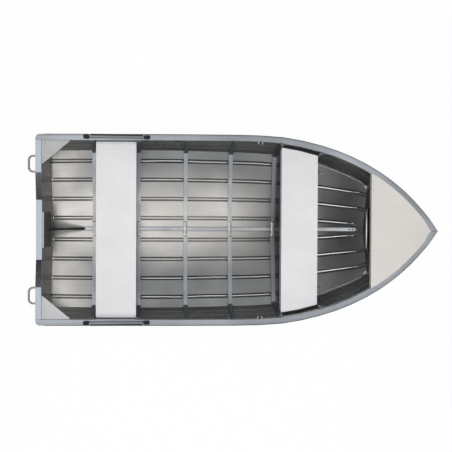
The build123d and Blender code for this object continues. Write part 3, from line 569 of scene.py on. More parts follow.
def piece(name, work, material, bevel=None):
    """Piece of a bmesh that rides on the hull; bevel is the width of its rounded edges."""
    bmesh.ops.recalc_face_normals(work, faces=work.faces)
    mesh = bpy.data.meshes.new(name)
    work.to_mesh(mesh)
    work.free()
    for polygon in mesh.polygons:
        polygon.use_smooth = True
    mesh.materials.append(bpy.data.materials[material])
    obj = bpy.data.objects.new(name, mesh)
    bpy.context.scene.collection.objects.link(obj)
    if bevel:
        edges = obj.modifiers.new("Bevel", "BEVEL")
        edges.width = bevel
        edges.segments = 2
        edges.limit_method = "ANGLE"
        edges.angle_limit = radians(35)
        split_edges(obj, radians(40))
    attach(obj, "root")
    return obj


class RivetField:
    """Rivet heads gathered into one piece."""

    # Rings of a head as shares of its radius and height; the first is sunk into the sheet
    PROFILE = ((1.0, -0.35), (0.93, 0.35), (0.62, 0.82))

    def __init__(self, rivets):
        self.radius, self.height, self.sides = rivets.radius, rivets.height, rivets.sides
        self.work = bmesh.new()

    def head(self, point, normal, scale):
        """One domed head on a surface."""
        radius, height = self.radius * scale, self.height * scale
        profile = [(share * radius, rise * height) for share, rise in self.PROFILE]
        rings = add_turned(self.work, point, normal, profile, self.sides)
        join_rings(self.work, rings, capped=False)
        top = self.work.verts.new(point + normal * height)
        last = rings[-1]
        for corner, after in zip(last, last[1:] + last[:1]):
            self.work.faces.new((corner, after, top))

    def shot(self, tree, origin, direction, scale=1.0):
        """Head where a ray from a place first meets a surface."""
        hit, normal, _, _ = tree.ray_cast(Vector(origin), direction)
        if hit is not None:
            self.head(hit, -normal if normal.dot(direction) > 0 else normal, scale)

    def drop(self, tree, x, y, scale=0.9):
        """Head on top of a surface."""
        self.shot(tree, (x, y, 1), -UP, scale)


# Operators


class DINGHY_OT_materials(bpy.types.Operator):
    """Make the materials and put them on the CAD nodes."""

    bl_idname = "dinghy.materials"
    bl_label = "Dinghy materials"

    def execute(self, context):
        sheet = context.scene.dinghy_sheet
        for make_group in (rolled_sheet_group, moulded_plastic_group, painted_floor_light_group,
                           painted_outward_shade_group, painted_slope_shade_group):
            make_group()
        self.trim_materials()
        by_slot = self.slot_materials(sheet)
        by_node = self.node_materials(sheet)
        slots = {part["node"]: part["material_slot"] for part in frame["record"]["subparts"]}
        for name, obj in frame["nodes"].items():
            obj.data.materials.clear()
            obj.data.materials.append(by_node.get(name, by_slot[slots[name]]))
            for polygon in obj.data.polygons:
                polygon.use_smooth = True
            obj.modifiers.new("Weld", "WELD").merge_threshold = 0.00001
            split_edges(obj, sheet.smooth_angle)
        return {"FINISHED"}

    def trim_materials(self):
        """Finishes of the pieces that are made here."""
        metal("RivetMetal", (0.70, 0.70, 0.70), 0.34, spread=0.05)
        # Bright metal for the strips that paint highlights in the strakes
        metal("HighlightStripMetal", (0.90, 0.90, 0.89), 0.30, spread=0.03)
        metal("SaddleSheet", (0.88, 0.88, 0.88), 0.40, spread=0.03)
        metal("BrightTrim", (0.86, 0.86, 0.86), 0.22, spread=0.03, rough_spread=0.05, bump=0.04)
        metal("WeldGrey", (0.36, 0.37, 0.38), 0.45, spread=0.08, cloud=8.0)
        # Near-black strips that paint shade: shadows in gaps and a dark edge reflection
        plastic("PaintedShadeStrip", (0.015, 0.015, 0.016), 0.7, scale=500.0)

    def slot_materials(self, sheet):
        """Finish of each material slot of the record."""
        return {
            # The side sheets take painted shade on their outer faces
            "hull_sheet": metal(
                "SideSheet", sheet.side_colour, 0.30, spread=0.14,
                painted_shade=("PaintedOutwardShade", (0.52, 0.535, 0.55))),
            # The ribs take the painted floor light and shade
            "frame_sheet": metal(
                "FrameSheet", sheet.frame_colour, 0.36, streak=1.0, cloud=5.0,
                painted_shade=("PaintedFloorLight", (0.50, 0.52, 0.55))),
            "extrusion": metal("Extrusion", sheet.extrusion_colour, 0.36, spread=0.07, cloud=1.5),
            "bright_sheet": metal("BrightSheet", sheet.bright_colour, 0.38),
            "polished_fitting": metal(
                "Polished", (0.50, 0.50, 0.49), 0.13, spread=0.04, rough_spread=0.05, bump=0.03),
            "cast_fitting": metal("Cast", (0.55, 0.55, 0.55), 0.40, streak=1.0, bump=0.5),
            "coated_sheet": coated("BenchCoat", sheet.seat_colour),
            "black_plastic": plastic("BlackPlastic", (0.012, 0.012, 0.013)),
            # The pad's upward faces get a painted highlight in the top colour
            "motor_pad": plastic(
                "PadBoard", (0.085, 0.086, 0.084), 0.5, scale=400.0, top=(0.52, 0.53, 0.54)),
            "bung_plastic": plastic("BungPlastic", (0.17, 0.175, 0.18), 0.35),
        }

    def node_materials(self, sheet):
        """Finish of the nodes that differ from their slot."""
        # The bottom sheet takes painted shade outside a painted bright band along the keel and at
        # the stern
        bottom = metal(
            "BottomSheet", sheet.hull_colour, sheet.hull_roughness, bump=0.06,
            painted_shade=("PaintedFloorLight", (0.29, 0.31, 0.325)))
        rail = metal("RailBar", (0.27, 0.28, 0.30), 0.34, spread=0.06)
        return {
            "bottom_panel_port": bottom,
            "bottom_panel_starboard": bottom,
            "side_rail_port": rail,
            "side_rail_starboard": rail,
            "keelson": metal("KeelsonStrip", (0.49, 0.505, 0.525), 0.32, spread=0.14, cloud=4.0),
            # Near-black knee: painted shade for the dark reflection on its sloping top; the keelson
            # bolts share this material
            "transom_knee": metal("KneePlate", (0.16, 0.16, 0.165), 0.34),
            # The transom cap takes painted shade on its sloping parts
            "transom_cap": metal(
                "CapExtrusion", sheet.cap_colour, 0.08, spread=0.06, rough_spread=0.02,
                cloud=1.5, painted_shade=("PaintedSlopeShade", (0.55, 0.56, 0.56))),
            "foredeck": coated("DeckCoat", sheet.deck_colour),
        }


class DINGHY_OT_rivets(bpy.types.Operator):
    """Add the rivet seams of skin, ribs, seats and cap."""

    bl_idname = "dinghy.rivets"
    bl_label = "Dinghy rivets"

    def execute(self, context):
        rivets = context.scene.dinghy_rivets
        for side_name, side in SIDES:
            field = RivetField(rivets)
            self.rib_seams(field, rivets.pitch, side_name, side)
            self.transom_seam(field, rivets.pitch, side)
            piece(f"SkinRivets_{side_name}", field.work, "RivetMetal")
        field = RivetField(rivets)
        self.rib_and_seat_rows(field)
        self.edge_rows(field)
        piece("InnerRivets", field.work, "RivetMetal")
        return {"FINISHED"}

    def rib_seams(self, field, pitch, side_name, side):
        """Two rows through the skin at each rib, seen from outside."""
        beside, under = side * 1.2, -0.6
        inset, side_foot, side_head = 0.010, 0.115, 0.020
        from_keel, from_chine = 0.045, 0.09
        panel = surface(f"side_panel_{side_name}")
        bottom = surface(f"bottom_panel_{side_name}")
        for number in RIBS:
            low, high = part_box(f"rib_{number}")
            for x in (low.x + inset, high.x - inset):
                for z in spread(low.z + side_foot, high.z - side_head, pitch):
                    field.shot(panel, (x, beside, z), ACROSS * -side)
                for y in spread(from_keel, high.y - from_chine, pitch):
                    field.shot(bottom, (x, side * y, under), UP)

    def transom_seam(self, field, pitch, side):
        """One row down an edge of the transom, seen from behind."""
        foot, head, inset = 0.16, 0.07, 0.016
        inner, step = 0.50, 0.004
        transom = surface("transom")
        low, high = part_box("transom")
        astern = low.x - 0.5
        for z in spread(low.z + foot, high.z - head, pitch):
            for y in reversed(spread(inner, high.y, step)):
                if transom.ray_cast(Vector((astern, side * y, z)), AHEAD)[0]:
                    field.shot(transom, (astern, side * (y - inset), z), AHEAD)
                    break

    def rib_and_seat_rows(self, field):
        """Rivets of the saddles on the ribs and of the seat ends, seen from above."""
        for number in RIBS:
            tree = surface(f"rib_{number}")
            middle = centre_of(f"rib_{number}").x
            for x in (middle - 0.011, middle + 0.011):
                for y in (-0.052, -0.034, 0.034, 0.052):
                    field.drop(tree, x, y)
        inset, from_end, apart = 0.012, 0.10, 0.04
        for name in ("seat_aft", "seat_front"):
            tree = surface(name)
            low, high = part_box(name)
            for x in (low.x + inset, high.x - inset):
                for _, side in SIDES:
                    for y in (high.y - from_end, high.y - from_end - apart):
                        field.drop(tree, x, side * y, scale=0.8)

    def edge_rows(self, field):
        """Rivets of the transom cap, the gussets and the deck, seen from above."""
        tree = surface("transom_cap")
        low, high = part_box("transom_cap")
        for y in spread(low.y + 0.03, high.y - 0.03, 0.12):
            field.drop(tree, low.x + 0.012, y)
        gap = 0.045
        for side_name, side in SIDES:
            name = f"stern_gusset_{side_name}"
            tree = surface(name)
            low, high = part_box(name)
            inner, outer = reach_of(name)
            for x in spread(low.x + 0.075, high.x - 0.02, gap):
                field.drop(tree, x, side * (outer - 0.045))
            for y in spread(inner + 0.02, outer - 0.05, gap):
                field.drop(tree, low.x + 0.068, side * y)
        tree = surface("foredeck")
        low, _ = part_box("foredeck")
        for y in spread(-0.50, 0.50, 0.07):
            field.drop(tree, low.x + 0.016, y)


class DINGHY_OT_plates(bpy.types.Operator):
    """Add the thin plates, welds and strips."""

    bl_idname = "dinghy.plates"
    bl_label = "Dinghy plates and trim"

    # The locker opening, from the centreline and from the water, and the radius of its corners
    LOCKER_HALF, LOCKER_SILL, LOCKER_HEAD, LOCKER_CORNER = 0.2065, 0.2155, 0.4765, 0.036

    def execute(self, context):
        self.saddles()
        self.keelson_edges()
        self.keelson_end()
        for side_name, side in SIDES:
            self.transom_flange(side_name, side)
        self.locker_trim()
        self.locker_tabs()
        for side_name, side in SIDES:
            self.chine_corner(side_name, side)
            self.rail_strip(side_name, side)
            self.gunwale_line(side_name, side)
        return {"FINISHED"}

    def saddles(self):
        """Bright plates that tie each rib to the keelson, with dark strips at their ends and beside
        the keelson strip: painted shadow of the gaps there.
        """
        plates, gap_shadows = bmesh.new(), bmesh.new()
        half = 0.0155
        along = [-0.064, -0.040, -0.018, 0.0, 0.018, 0.040, 0.064]
        beside_strip = [-0.0235, -0.0165, 0.0165, 0.0235]
        floor = surface("keelson", "bottom_panel_port", "bottom_panel_starboard")
        for number in RIBS:
            tree = surface(f"rib_{number}", "keelson")
            middle = centre_of(f"rib_{number}").x
            across = [middle - half, middle, middle + half]
            add_draped_plate(plates, tree, across, along, lift=0.0003, thickness=0.0014)
            for end in (-1, 1):
                edge = sorted([end * 0.0645, end * 0.0690])
                add_draped_plate(gap_shadows, tree, across, edge, lift=0.0002, thickness=0.0016)
                foot = sorted([middle + end * 0.0190, middle + end * 0.0250])
                add_draped_plate(
                    gap_shadows, floor, foot, beside_strip, lift=0.0003, thickness=0.0012)
        piece("SaddlePlates", plates, "SaddleSheet", bevel=0.0005)
        piece("SaddleGapShadows", gap_shadows, "PaintedShadeStrip")

    def keelson_edges(self):
        """Thin welded edges of the keelson strip between the ribs."""
        gap, pitch = 0.008, 0.05
        low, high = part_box("keelson")
        tree = surface("bottom_panel_port", "bottom_panel_starboard")
        ribs = [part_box(f"rib_{number}") for number in RIBS]
        starts = [low.x] + [far.x + gap for _, far in ribs]
        ends = [near.x - gap for near, _ in ribs] + [high.x]
        work = bmesh.new()
        for start, end in zip(starts, ends):
            for _, side in SIDES:
                edge = sorted([side * 0.0164, side * 0.0196])
                add_draped_plate(
                    work, tree, spread(start, end, pitch), edge, lift=0.0, thickness=0.0045)
        piece("KeelsonWelds", work, "WeldGrey")

    def keelson_end(self):
        """Bolts and button where the keelson strip meets the stem."""
        tree = surface("keelson", "bottom_panel_port", "bottom_panel_starboard")
        _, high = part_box("keelson")
        bolts, button = bmesh.new(), bmesh.new()
        upright = Vector((-0.1, 0, 1)).normalized()
        for back in (0.022, 0.052):
            foot = below(tree, high.x - back, 0.001)
            add_disc(bolts, foot, upright, radius=0.0075, thickness=0.005, sides=6)
        upright = Vector((-0.25, 0, 1)).normalized()
        foot = below(tree, high.x + 0.014, 0.0005)
        add_disc(button, foot, upright, radius=0.009, thickness=0.006, sides=16)
        piece("KeelsonBolts", bolts, "KneePlate", bevel=0.0006)
        piece("StemButton", button, "BrightTrim", bevel=0.0012)

    def transom_flange(self, side_name, side):
        """Sealed strip along the foot of the transom, shaped to the pressed bottom."""
        floor = surface(f"bottom_panel_{side_name}")
        face = surface("transom")
        gap, outer, foot_height, thickness, top = 0.0006, 0.0130, 0.0022, 0.0036, 0.020
        level = 0.10
        section = (
            (gap, 0.0), (outer, 0.0004), (outer, foot_height), (thickness, foot_height),
            (thickness - TRANSOM_SLOPE * top, top), (gap - TRANSOM_SLOPE * top, top))
        work = bmesh.new()
        rings = []
        for y in spread(0.004, 0.712, 0.004):
            wall = face.ray_cast(Vector((-1.2, side * y, level)), -AHEAD)[0]
            foot = None
            for _ in range(4):
                drop = level - (foot.z if foot else 0.0)
                foot = below(floor, wall.x + TRANSOM_SLOPE * drop + gap, side * y) or foot
            if foot is None:
                continue
            x = wall.x + TRANSOM_SLOPE * (level - foot.z)
            rings.append([
                work.verts.new((x + ahead, side * y, foot.z + rise)) for ahead, rise in section])
        join_rings(work, rings)
        flange = piece(f"TransomFlange_{side_name}", work, "SideSheet")
        split_edges(flange, radians(30))

    def locker_trim(self):
        """Rounded edge round the locker opening."""
        low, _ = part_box("bow_bulkhead")
        corner = self.LOCKER_CORNER
        side = self.LOCKER_HALF - corner
        sill, head = self.LOCKER_SILL + corner, self.LOCKER_HEAD - corner
        turns = ((side, sill, -pi / 2), (side, head, 0), (-side, head, pi / 2), (-side, sill, pi))
        points = []
        for y, z, start in turns:
            centre = Vector((low.x + 0.003, y, z))
            points += arc(centre, ACROSS * corner, UP * corner, pi / 2, 6, start)
        work = bmesh.new()
        add_tube(work, points + points[:1], radius=0.0048, sides=12, capped=False)
        piece("LockerTrim", work, "BrightTrim")

    def locker_tabs(self):
        """Four tabs beside the locker opening and the leaning bar on its sill."""
        low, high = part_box("bow_bulkhead")
        aside, under, over, half = 0.016, 0.016, 0.014, 0.013
        work = bmesh.new()
        reach = self.LOCKER_HALF - aside
        for y in (-reach, reach):
            for z in (self.LOCKER_SILL - under, self.LOCKER_HEAD + over):
                centre = Vector((high.x - 0.0030, y, z))
                ends = [centre - ACROSS * half, centre + ACROSS * half]
                add_bar(work, ends, UP, -AHEAD, width=0.014, height=0.004)
        reach = self.LOCKER_HALF - self.LOCKER_CORNER
        ends = [Vector((low.x - 0.004, y, self.LOCKER_SILL)) for y in (-reach, reach)]
        lean = radians(15)
        across = Vector((cos(lean), 0, sin(lean)))
        up = Vector((-sin(lean), 0, cos(lean)))
        add_bar(work, ends, across, up, width=0.020, height=0.005)
        piece("LockerTabs", work, "BrightTrim", bevel=0.001)

    def chine_corner(self, side_name, side):
        """Bright corner plate where the chine meets the bulkhead."""
        _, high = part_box("bow_bulkhead")
        bottom = surface(f"bottom_panel_{side_name}")
        floor = surface(f"bottom_panel_{side_name}", f"side_panel_{side_name}")
        x = high.x - 0.0035
        chine = max(y for y in spread(0.25, 0.55, 0.002) if below(bottom, x, side * y)) - 0.004
        shape = ((0.000, 0.006), (-0.034, 0.012), (-0.026, -0.020), (-0.002, -0.030))
        feet = [below(floor, x + along, side * (chine + out)) for along, out in shape]
        work = bmesh.new()
        join_rings(work, [
            [work.verts.new(foot + UP * rise) for foot in feet] for rise in (0.0004, 0.0030)])
        piece(f"ChineCorner_{side_name}", work, "BrightTrim", bevel=0.0008)

    def rail_strip(self, side_name, side):
        """Black strip on the gunwale outside the side rail: painted shadow of the gap beside the
        rail.
        """
        from_end, outside, pitch = 0.035, 0.0085, 0.03
        node = f"side_rail_{side_name}"
        low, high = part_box(node)
        y = side * (reach_of(node)[1] + outside)
        tree = surface(f"gunwale_{side_name}")
        points = [
            below(tree, x, y) + UP * 0.0001
            for x in spread(low.x + from_end, high.x - from_end, pitch)
        ]
        work = bmesh.new()
        add_bar(work, points, ACROSS, UP, width=0.013, height=0.005)
        piece(f"RailStrip_{side_name}", work, "PaintedShadeStrip", bevel=0.0015)

    def gunwale_line(self, side_name, side):
        """Thin dark line along the outer edge of the gunwale: a painted dark reflection of its
        rounded edge.
        """
        from_end, pitch, step = 0.075, 0.035, 0.008
        node = f"gunwale_{side_name}"
        low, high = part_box(node)
        _, outer = reach_of(node)
        tree = surface(node)
        points = []
        for x in spread(low.x + from_end, high.x - from_end, pitch):
            edge = outer
            while not below(tree, x, side * edge):
                edge -= step
            outside = edge + step
            for _ in range(5):
                middle = (edge + outside) / 2
                if below(tree, x, side * middle):
                    edge = middle
                else:
                    outside = middle
            top = below(tree, x, side * (edge - 0.006))
            points.append(Vector((x, side * (edge - 0.0040), top.z - 0.0002)))
        work = bmesh.new()
        add_bar(work, points, ACROSS, UP, width=0.0052, height=0.0010)
        piece(f"GunwaleLine_{side_name}", work, "PaintedShadeStrip", bevel=0.0004)


class DINGHY_OT_bow(bpy.types.Operator):
    """Add bright strips as painted highlights in the strakes, and the chine bead in the bow."""

    bl_idname = "dinghy.bow"
    bl_label = "Dinghy strake lines"

    # Painted highlights in the strakes of the bow: distance from the centreline at the seat and gap
    # to the bulkhead
    BOW_LINES = ((0.085, 0.075), (0.25, 0.06), (0.41, 0.05))
    # Painted highlights in the strakes between the middle ribs, by distance from the centreline
    HIGHLIGHT_LINES = {"port": (0.45, 0.63), "starboard": (0.28, 0.45, 0.63)}
    # Bays with such lines, by the number of the rib behind each
    HIGHLIGHT_BAYS = (2, 3, 4)

    def execute(self, context):
        low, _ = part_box("bow_bulkhead")
        _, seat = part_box("seat_front")
        for side_name, side in SIDES:
            floor = surface(f"bottom_panel_{side_name}")
            work = bmesh.new()
            for y, gap in self.BOW_LINES:
                start, end = seat.x - 0.05, low.x - gap
                self.line(work, floor, side, y, start, end, half=0.0068, end_share=0.4)
            for number in self.HIGHLIGHT_BAYS:
                _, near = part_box(f"rib_{number}")
                far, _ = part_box(f"rib_{number + 1}")
                for y in self.HIGHLIGHT_LINES[side_name]:
                    start, end = near.x + 0.006, far.x - 0.006
                    self.line(work, floor, side, y, start, end, half=0.0030, end_share=1.0)
            piece(f"StrakeHighlightStrips_{side_name}", work, "HighlightStripMetal", bevel=0.0006)
            self.chine_bead(floor, side_name, side, seat.x - 0.03, low.x - 0.010)
        return {"FINISHED"}

    def chine_bead(self, floor, side_name, side, start, end):
        """Thin bright bead along the chine."""
        points = []
        for x in spread(start, end, 0.03):
            chine = max(y for y in spread(0.25, 0.75, 0.002) if below(floor, x, side * y))
            points.append(below(floor, x, side * (chine - 0.006)))
        work = bmesh.new()
        add_tube(work, points, radius=0.0030, sides=8)
        piece(f"ChineBead_{side_name}", work, "BrightTrim")

    def line(self, work, floor, side, y, start, end, half, end_share):
        """Level strip in the trough of one strake, a painted highlight, narrowing to a share at its
        fore end.
        """
        stations = spread(start, end, 0.02)
        path = []
        for x in stations:
            y = self.trough(floor, side, x, y)
            path.append(y)
        for _ in range(12):
            path = [sum(three) / 3 for three in zip(path[:1] + path, path, path[1:] + path[-1:])]
        rings = []
        for index, (x, y) in enumerate(zip(stations, path)):
            reach = half * (1 + (end_share - 1) * index / len(stations))
            inner = below(floor, x, side * y).z
            outer = below(floor, x, side * (y + reach)).z
            top = outer + 0.0008
            section = (
                (y - reach, inner - 0.001), (y + reach, outer - 0.0004),
                (y + reach, top), (y - reach, top))
            rings.append([work.verts.new((x, side * across, z)) for across, z in section])
        join_rings(work, rings)

    def trough(self, floor, side, x, y):
        """Lowest place across a strake, near a distance from the centreline."""
        reach, step, flank = 0.016, 0.002, 0.024

        def depth(place):
            inner, here, outer = (
                below(floor, x, side * (place + off)).z for off in (-flank, 0, flank))
            return here - (inner + outer) / 2

        return min(spread(y - reach, y + reach, step), key=depth)


class DINGHY_OT_fittings(bpy.types.Operator):
    """Add round handles, the bow eye, the screws and bolts, the bung's grip and the bow weld."""

    bl_idname = "dinghy.fittings"
    bl_label = "Dinghy fittings"

    def execute(self, context):
        fittings = context.scene.dinghy_fittings
        for side_name, _ in SIDES:
            self.handle(fittings, side_name)
        self.bow_eye(fittings)
        for side_name, side in SIDES:
            self.rowlock_bush(side_name, side)
        if fittings.show_screws:
            self.rowlock_screws()
            self.bracket_screws()
        self.pad_bolts("outer", TRANSOM_OUT, "BrightTrim", "polished_fitting")
        self.pad_bolts("inner", -TRANSOM_OUT, "WeldGrey", "frame_sheet")
        self.bung_grip()
        self.bow_weld()
        return {"FINISHED"}

    def handle(self, fittings, side_name):
        """Bent tube on two round feet, in the place of the CAD handle."""
        node = f"transom_handle_{side_name}"
        low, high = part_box(node)
        middle = centre_of(node).z
        inset = 0.020
        left, right = low.y + inset, high.y - inset
        back, front = low.x + fittings.tube_radius, high.x - 0.002
        bend = fittings.bend_radius
        along, across = AHEAD * bend, ACROSS * bend
        work = bmesh.new()
        add_tube(work, [
            Vector((front, left, middle)),
            *arc(Vector((back + bend, left + bend, middle)), -across, -along, pi / 2, 12),
            *arc(Vector((back + bend, right - bend, middle)), -along, across, pi / 2, 12),
            Vector((front, right, middle)),
        ], fittings.tube_radius)
        for y in (left, right):
            foot = Vector((high.x - 0.0032, y, middle)) - TRANSOM_OUT * 0.0005
            add_disc(work, foot, TRANSOM_OUT, radius=0.0195, thickness=0.004)
        obj = piece(f"Handle_{side_name}", work, "Polished")
        split_edges(obj, radians(35))
        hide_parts(node)

    def bow_eye(self, fittings):
        """Round rod bent to an eye on a base plate, in the place of the CAD eye."""
        run = Vector((0.46, 0, 0.888)).normalized()
        out = Vector((run.z, 0, -run.x))
        hit, _, _, _ = surface("stem_bar").ray_cast(centre_of("bow_eye") + out * 0.2, -out)
        base = hit + out * 0.0003
        half, reach, foot = run * 0.0165, 0.024, run * 0.028
        bend = out * half.length
        work = bmesh.new()
        add_tube(
            work,
            [base - half, *arc(base + out * reach - bend, -half, bend, pi, 12), base + half],
            fittings.eye_radius, 14)
        add_bar(work, [base - foot, base + foot], ACROSS, out, width=0.015, height=0.004)
        eye = piece("BowEye", work, "Polished", bevel=0.0008)
        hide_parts("bow_eye")

    def rowlock_bush(self, side_name, side):
        """Black bush in the mouth of a rowlock socket."""
        node = f"rowlock_block_{side_name}"
        mouth = centre_of(node) - ACROSS * side * 0.001
        mouth.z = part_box(node)[1].z + 0.0004
        circle = arc(mouth, AHEAD * 0.0098, ACROSS * 0.0098, 2 * pi, 24)
        work = bmesh.new()
        add_tube(work, circle, radius=0.0032, sides=10, capped=False)
        piece(f"RowlockBush_{side_name}", work, "BlackPlastic")

    def bracket_screws(self):
        """Black screws on the rail brackets."""
        from_end, sunk, radius = 0.014, 0.0002, 0.0048
        work = bmesh.new()
        for side_name, _ in SIDES:
            for end in ("aft", "fore"):
                node = f"rail_bracket_{end}_{side_name}"
                low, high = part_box(node)
                y = centre_of(node).y
                for x in (low.x + from_end, high.x - from_end):
                    self.screw(work, Vector((x, y, high.z - sunk)), UP, radius)
        piece("BracketScrews", work, "BlackPlastic", bevel=0.0004)

    def rowlock_screws(self):
        """Bright screws on the inner faces of the rowlock blocks."""
        aside, over_foot, under_head, radius = 0.016, 0.009, 0.012, 0.0036
        work = bmesh.new()
        for side_name, side in SIDES:
            node = f"rowlock_block_{side_name}"
            low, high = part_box(node)
            middle = centre_of(node).x
            y = side * (reach_of(node)[0] + 0.0003)
            for x in (middle - aside, middle + aside):
                for z in (low.z + over_foot, high.z - under_head):
                    self.screw(work, Vector((x, y, z)), ACROSS * -side, radius)
        piece("Screws", work, "BrightTrim", bevel=0.0004)

    def screw(self, work, foot, normal, radius):
        """Round head with a raised cross, added to a bmesh."""
        add_disc(work, foot, normal, radius, thickness=0.0022, sides=16)
        side = normal.orthogonal().normalized()
        up = normal.cross(side)
        middle = foot + normal * 0.0019
        for along, across in ((side, up), (up, side)):
            half = along * radius * 0.5
            ends = [middle - half, middle + half]
            add_bar(work, ends, across, normal, width=radius * 0.22, height=0.0006)

    def pad_bolts(self, label, out, material, slot_name):
        """Four coach bolts through a motor pad: washers and hexagon heads on one face."""
        aside, over_foot, under_head = 0.115, 0.045, 0.065
        node = f"motor_pad_{label}"
        tree = surface(node)
        low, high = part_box(node)
        x = centre_of(node).x
        work = bmesh.new()
        for y in (-aside, aside):
            for z in (low.z + over_foot, high.z - under_head):
                hit, _, _, _ = tree.ray_cast(Vector((x, y, z)) + out * 0.4, -out)
                add_disc(work, hit, out, radius=0.013, thickness=0.0022, sides=20)
                head = hit + out * 0.0020
                add_disc(work, head, out, radius=0.0075, thickness=0.0048, sides=6, bevel=0.1)
        piece(f"PadBolts_{label}", work, material, bevel=0.0005)

    def bung_grip(self):
        """Round head and finger grip of the drain bung, seen from inside."""
        tree = surface("drain_bung")
        ahead = -TRANSOM_OUT
        hit, _, _, _ = tree.ray_cast(centre_of("drain_bung") + ahead * 0.3, TRANSOM_OUT)
        work = bmesh.new()
        add_disc(work, hit, ahead, radius=0.014, thickness=0.0040, bevel=0.2)
        middle, half = hit + ahead * 0.0038, ACROSS * 0.011
        ends = [middle - half, middle + half]
        add_bar(work, ends, TRANSOM_OUT.cross(ACROSS), ahead, width=0.005, height=0.007)
        piece("BungGrip", work, "BungPlastic", bevel=0.0008)

    def bow_weld(self):
        """Ground weld along the mitre of the two gunwales at the bow."""
        tree = surface("gunwale_port", "gunwale_starboard")
        _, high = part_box("gunwale_port")
        tops = [below(tree, x, 0.0004) for x in spread(high.x - 0.058, high.x - 0.006, 0.004)]
        points = [top - Vector((0, 0.0004, 0.0004)) for top in tops if top]
        work = bmesh.new()
        add_bar(work, points, ACROSS, UP, width=0.0050, height=0.0006)
        piece("BowWeld", work, "WeldGrey", bevel=0.0005)


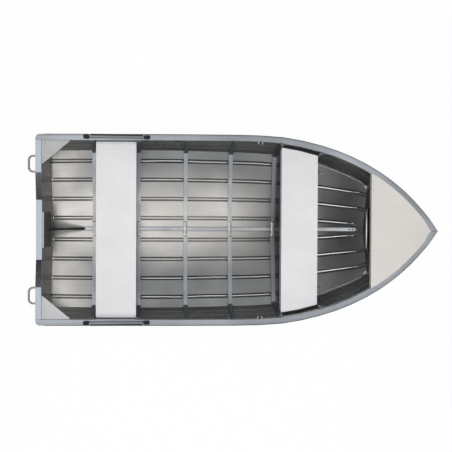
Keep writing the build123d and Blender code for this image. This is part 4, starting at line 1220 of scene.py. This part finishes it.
class DINGHY_OT_stage(bpy.types.Operator):
    """Set the camera, floor, lights and sky."""

    bl_idname = "dinghy.stage"
    bl_label = "Dinghy stage"

    def execute(self, context):
        stage = context.scene.dinghy_stage
        self.camera(context, stage)
        self.floor(context)
        self.light(context, stage)
        self.sky(context, stage)
        return {"FINISHED"}

    def camera(self, context, stage):
        """Camera over the aft seat, leaning towards the bow."""
        data = bpy.data.cameras.new("Camera")
        data.sensor_width = SENSOR_WIDTH
        data.sensor_fit = "HORIZONTAL"
        data.lens = SENSOR_WIDTH * stage.pixels_focal / IMAGE_WIDTH
        data.clip_end = 100
        camera = bpy.data.objects.new("Camera", data)
        context.scene.collection.objects.link(camera)
        view = Vector((sin(stage.tilt), 0, -cos(stage.tilt)))
        right = Vector((cos(stage.tilt), 0, sin(stage.tilt)))
        up = right.cross(view)
        lean = stage.lean
        view, up = view * cos(lean) - up * sin(lean), up * cos(lean) + view * sin(lean)
        turn = Matrix.Rotation(stage.roll, 3, view)
        basis = Matrix((turn @ right, turn @ up, -view)).transposed()
        place = (stage.camera_x, stage.camera_y, stage.camera_height)
        camera.matrix_world = Matrix.Translation(place) @ basis.to_4x4()
        context.scene.camera = camera

    def hull_outline(self):
        """Outline of the hull at the water, just inside the outer skin."""
        inside, count = 0.001, 120
        tree = surface(
            "bottom_panel_port", "bottom_panel_starboard", "keel_bar", "stem_bar",
            "side_panel_port", "side_panel_starboard", "transom")
        stern = tree.ray_cast(Vector((-4, 0.05, 0)), AHEAD)[0].x + 0.0012
        bow = tree.ray_cast(Vector((4, 0, 0)), -AHEAD)[0].x - inside
        stations = [stern + (bow - stern) * sin(pi / 2 * step / count) for step in range(count + 1)]
        outline = []
        for side, places in ((1, stations), (-1, stations[::-1])):
            for x in places:
                hit = tree.ray_cast(Vector((x, side * 2, 0)), ACROSS * -side)[0]
                outline.append((x, hit.y - side * inside, 0))
        return outline

    def floor(self, context):
        """Pale floor at the water surface, open inside the hull."""
        reach = 40
        corners = ((-reach, -reach, 0), (reach, -reach, 0), (reach, reach, 0), (-reach, reach, 0))
        work = bmesh.new()
        edges = []
        for outline in (self.hull_outline(), corners):
            loop = [work.verts.new(point) for point in outline]
            edges += [work.edges.new(pair) for pair in zip(loop, loop[1:] + loop[:1])]
        bmesh.ops.triangle_fill(work, edges=edges, use_beauty=True)
        bmesh.ops.recalc_face_normals(work, faces=work.faces)
        mesh = bpy.data.meshes.new("Floor")
        work.to_mesh(mesh)
        work.free()
        mesh.materials.append(self.floor_paper())
        floor = bpy.data.objects.new("Floor", mesh)
        context.scene.collection.objects.link(floor)

    def floor_paper(self):
        """White paper that shows as white to the camera, in metal and through glass."""
        white = 0.97
        material, tree = new_material("FloorPaper")
        shader = tree.nodes["Principled BSDF"]
        shader.inputs["Base Color"].default_value = (white, white, white, 1)
        shader.inputs["Roughness"].default_value = 0.9
        path = add(tree, "ShaderNodeLightPath").outputs
        seen = maths(tree, "MAXIMUM", path["Is Camera Ray"], path["Is Glossy Ray"])
        seen = maths(tree, "MAXIMUM", seen, path["Is Transmission Ray"])
        glow = add(tree, "ShaderNodeEmission", [("Color", (1, 1, 1, 1)), ("Strength", 1.0)])
        blend = add(tree, "ShaderNodeMixShader", [
            ("Fac", maths(tree, "MULTIPLY", seen, white)),
            (1, shader.outputs[0]), (2, glow.outputs[0])])
        tree.links.new(blend.outputs[0], tree.nodes["Material Output"].inputs["Surface"])
        return material

    def light(self, context, stage):
        """Large soft light overhead, which metal doesn't mirror."""
        data = bpy.data.lights.new("Key", "AREA")
        data.shape = "RECTANGLE"
        data.size = data.size_y = 5.0
        data.energy = stage.key_power
        light = bpy.data.objects.new("Key", data)
        light.location = (-0.4, -0.3, 6.4)
        light.visible_glossy = False
        context.scene.collection.objects.link(light)

    def sky(self, context, stage):
        """Studio round the boat: bright ceiling, dim upper walls with a band, pale horizon."""
        world = bpy.data.worlds.new("Sky")
        context.scene.world = world
        world.use_nodes = True
        tree = world.node_tree
        place = add(tree, "ShaderNodeTexCoord").outputs["Generated"]
        centre = Vector(stage.ceiling_centre).normalized()
        facing = add(
            tree, "ShaderNodeVectorMath", [(0, place), (1, centre)],
            operation="DOT_PRODUCT").outputs["Value"]
        ceiling = fade(
            tree, facing, cos(stage.ceiling_edge), cos(stage.ceiling_core),
            stage.walls, stage.ceiling)
        height = add(tree, "ShaderNodeSeparateXYZ", [("Vector", place)]).outputs["Z"]
        rise = fade(tree, height, sin(radians(20)), sin(radians(30)))
        fall = fade(tree, height, sin(radians(36)), sin(radians(48)), stage.band, 0.0)
        lit = maths(tree, "MULTIPLY_ADD", rise, fall, ceiling)
        pale = fade(tree, height, 0.06, 0.14, 1.0, 0.0)
        shade = mixed(tree, pale, lit, stage.horizon, kind="FLOAT")
        background = tree.nodes["Background"].inputs
        tree.links.new(shade, background["Color"])
        background["Strength"].default_value = 1.0


class DINGHY_PT_panel(bpy.types.Panel):
    """Settings and steps of the dinghy."""

    bl_label = "Dinghy"
    bl_idname = "DINGHY_PT_panel"
    bl_space_type = "VIEW_3D"
    bl_region_type = "UI"
    bl_category = "Dinghy"

    def draw(self, context):
        layout = self.layout
        for name in GROUPS:
            group = getattr(context.scene, name)
            box = layout.box()
            for key in group.bl_rna.properties.keys():
                if key not in ("rna_type", "name"):
                    box.prop(group, key)
        for operator in OPERATORS:
            layout.operator(operator.bl_idname)


GROUPS = {
    "dinghy_sheet": DinghySheet,
    "dinghy_rivets": DinghyRivets,
    "dinghy_fittings": DinghyFittings,
    "dinghy_stage": DinghyStage,
}
OPERATORS = (
    DINGHY_OT_materials,
    DINGHY_OT_rivets,
    DINGHY_OT_plates,
    DINGHY_OT_bow,
    DINGHY_OT_fittings,
    DINGHY_OT_stage,
)


def register():
    """Register the settings, operators and panel."""
    for name, group in GROUPS.items():
        bpy.utils.register_class(group)
        setattr(bpy.types.Scene, name, PointerProperty(type=group))
    for operator in OPERATORS:
        bpy.utils.register_class(operator)
    bpy.utils.register_class(DINGHY_PT_panel)


def unregister():
    """Undo register."""
    bpy.utils.unregister_class(DINGHY_PT_panel)
    for operator in reversed(OPERATORS):
        bpy.utils.unregister_class(operator)
    for name, group in GROUPS.items():
        delattr(bpy.types.Scene, name)
        bpy.utils.unregister_class(group)


def main():
    """Build the scene."""
    register()
    bpy.context.scene.view_settings.view_transform = "Standard"
    bpy.ops.dinghy.materials()
    bpy.ops.dinghy.rivets()
    bpy.ops.dinghy.plates()
    bpy.ops.dinghy.bow()
    bpy.ops.dinghy.fittings()
    bpy.ops.dinghy.stage()


if __name__ == "__main__":
    main()
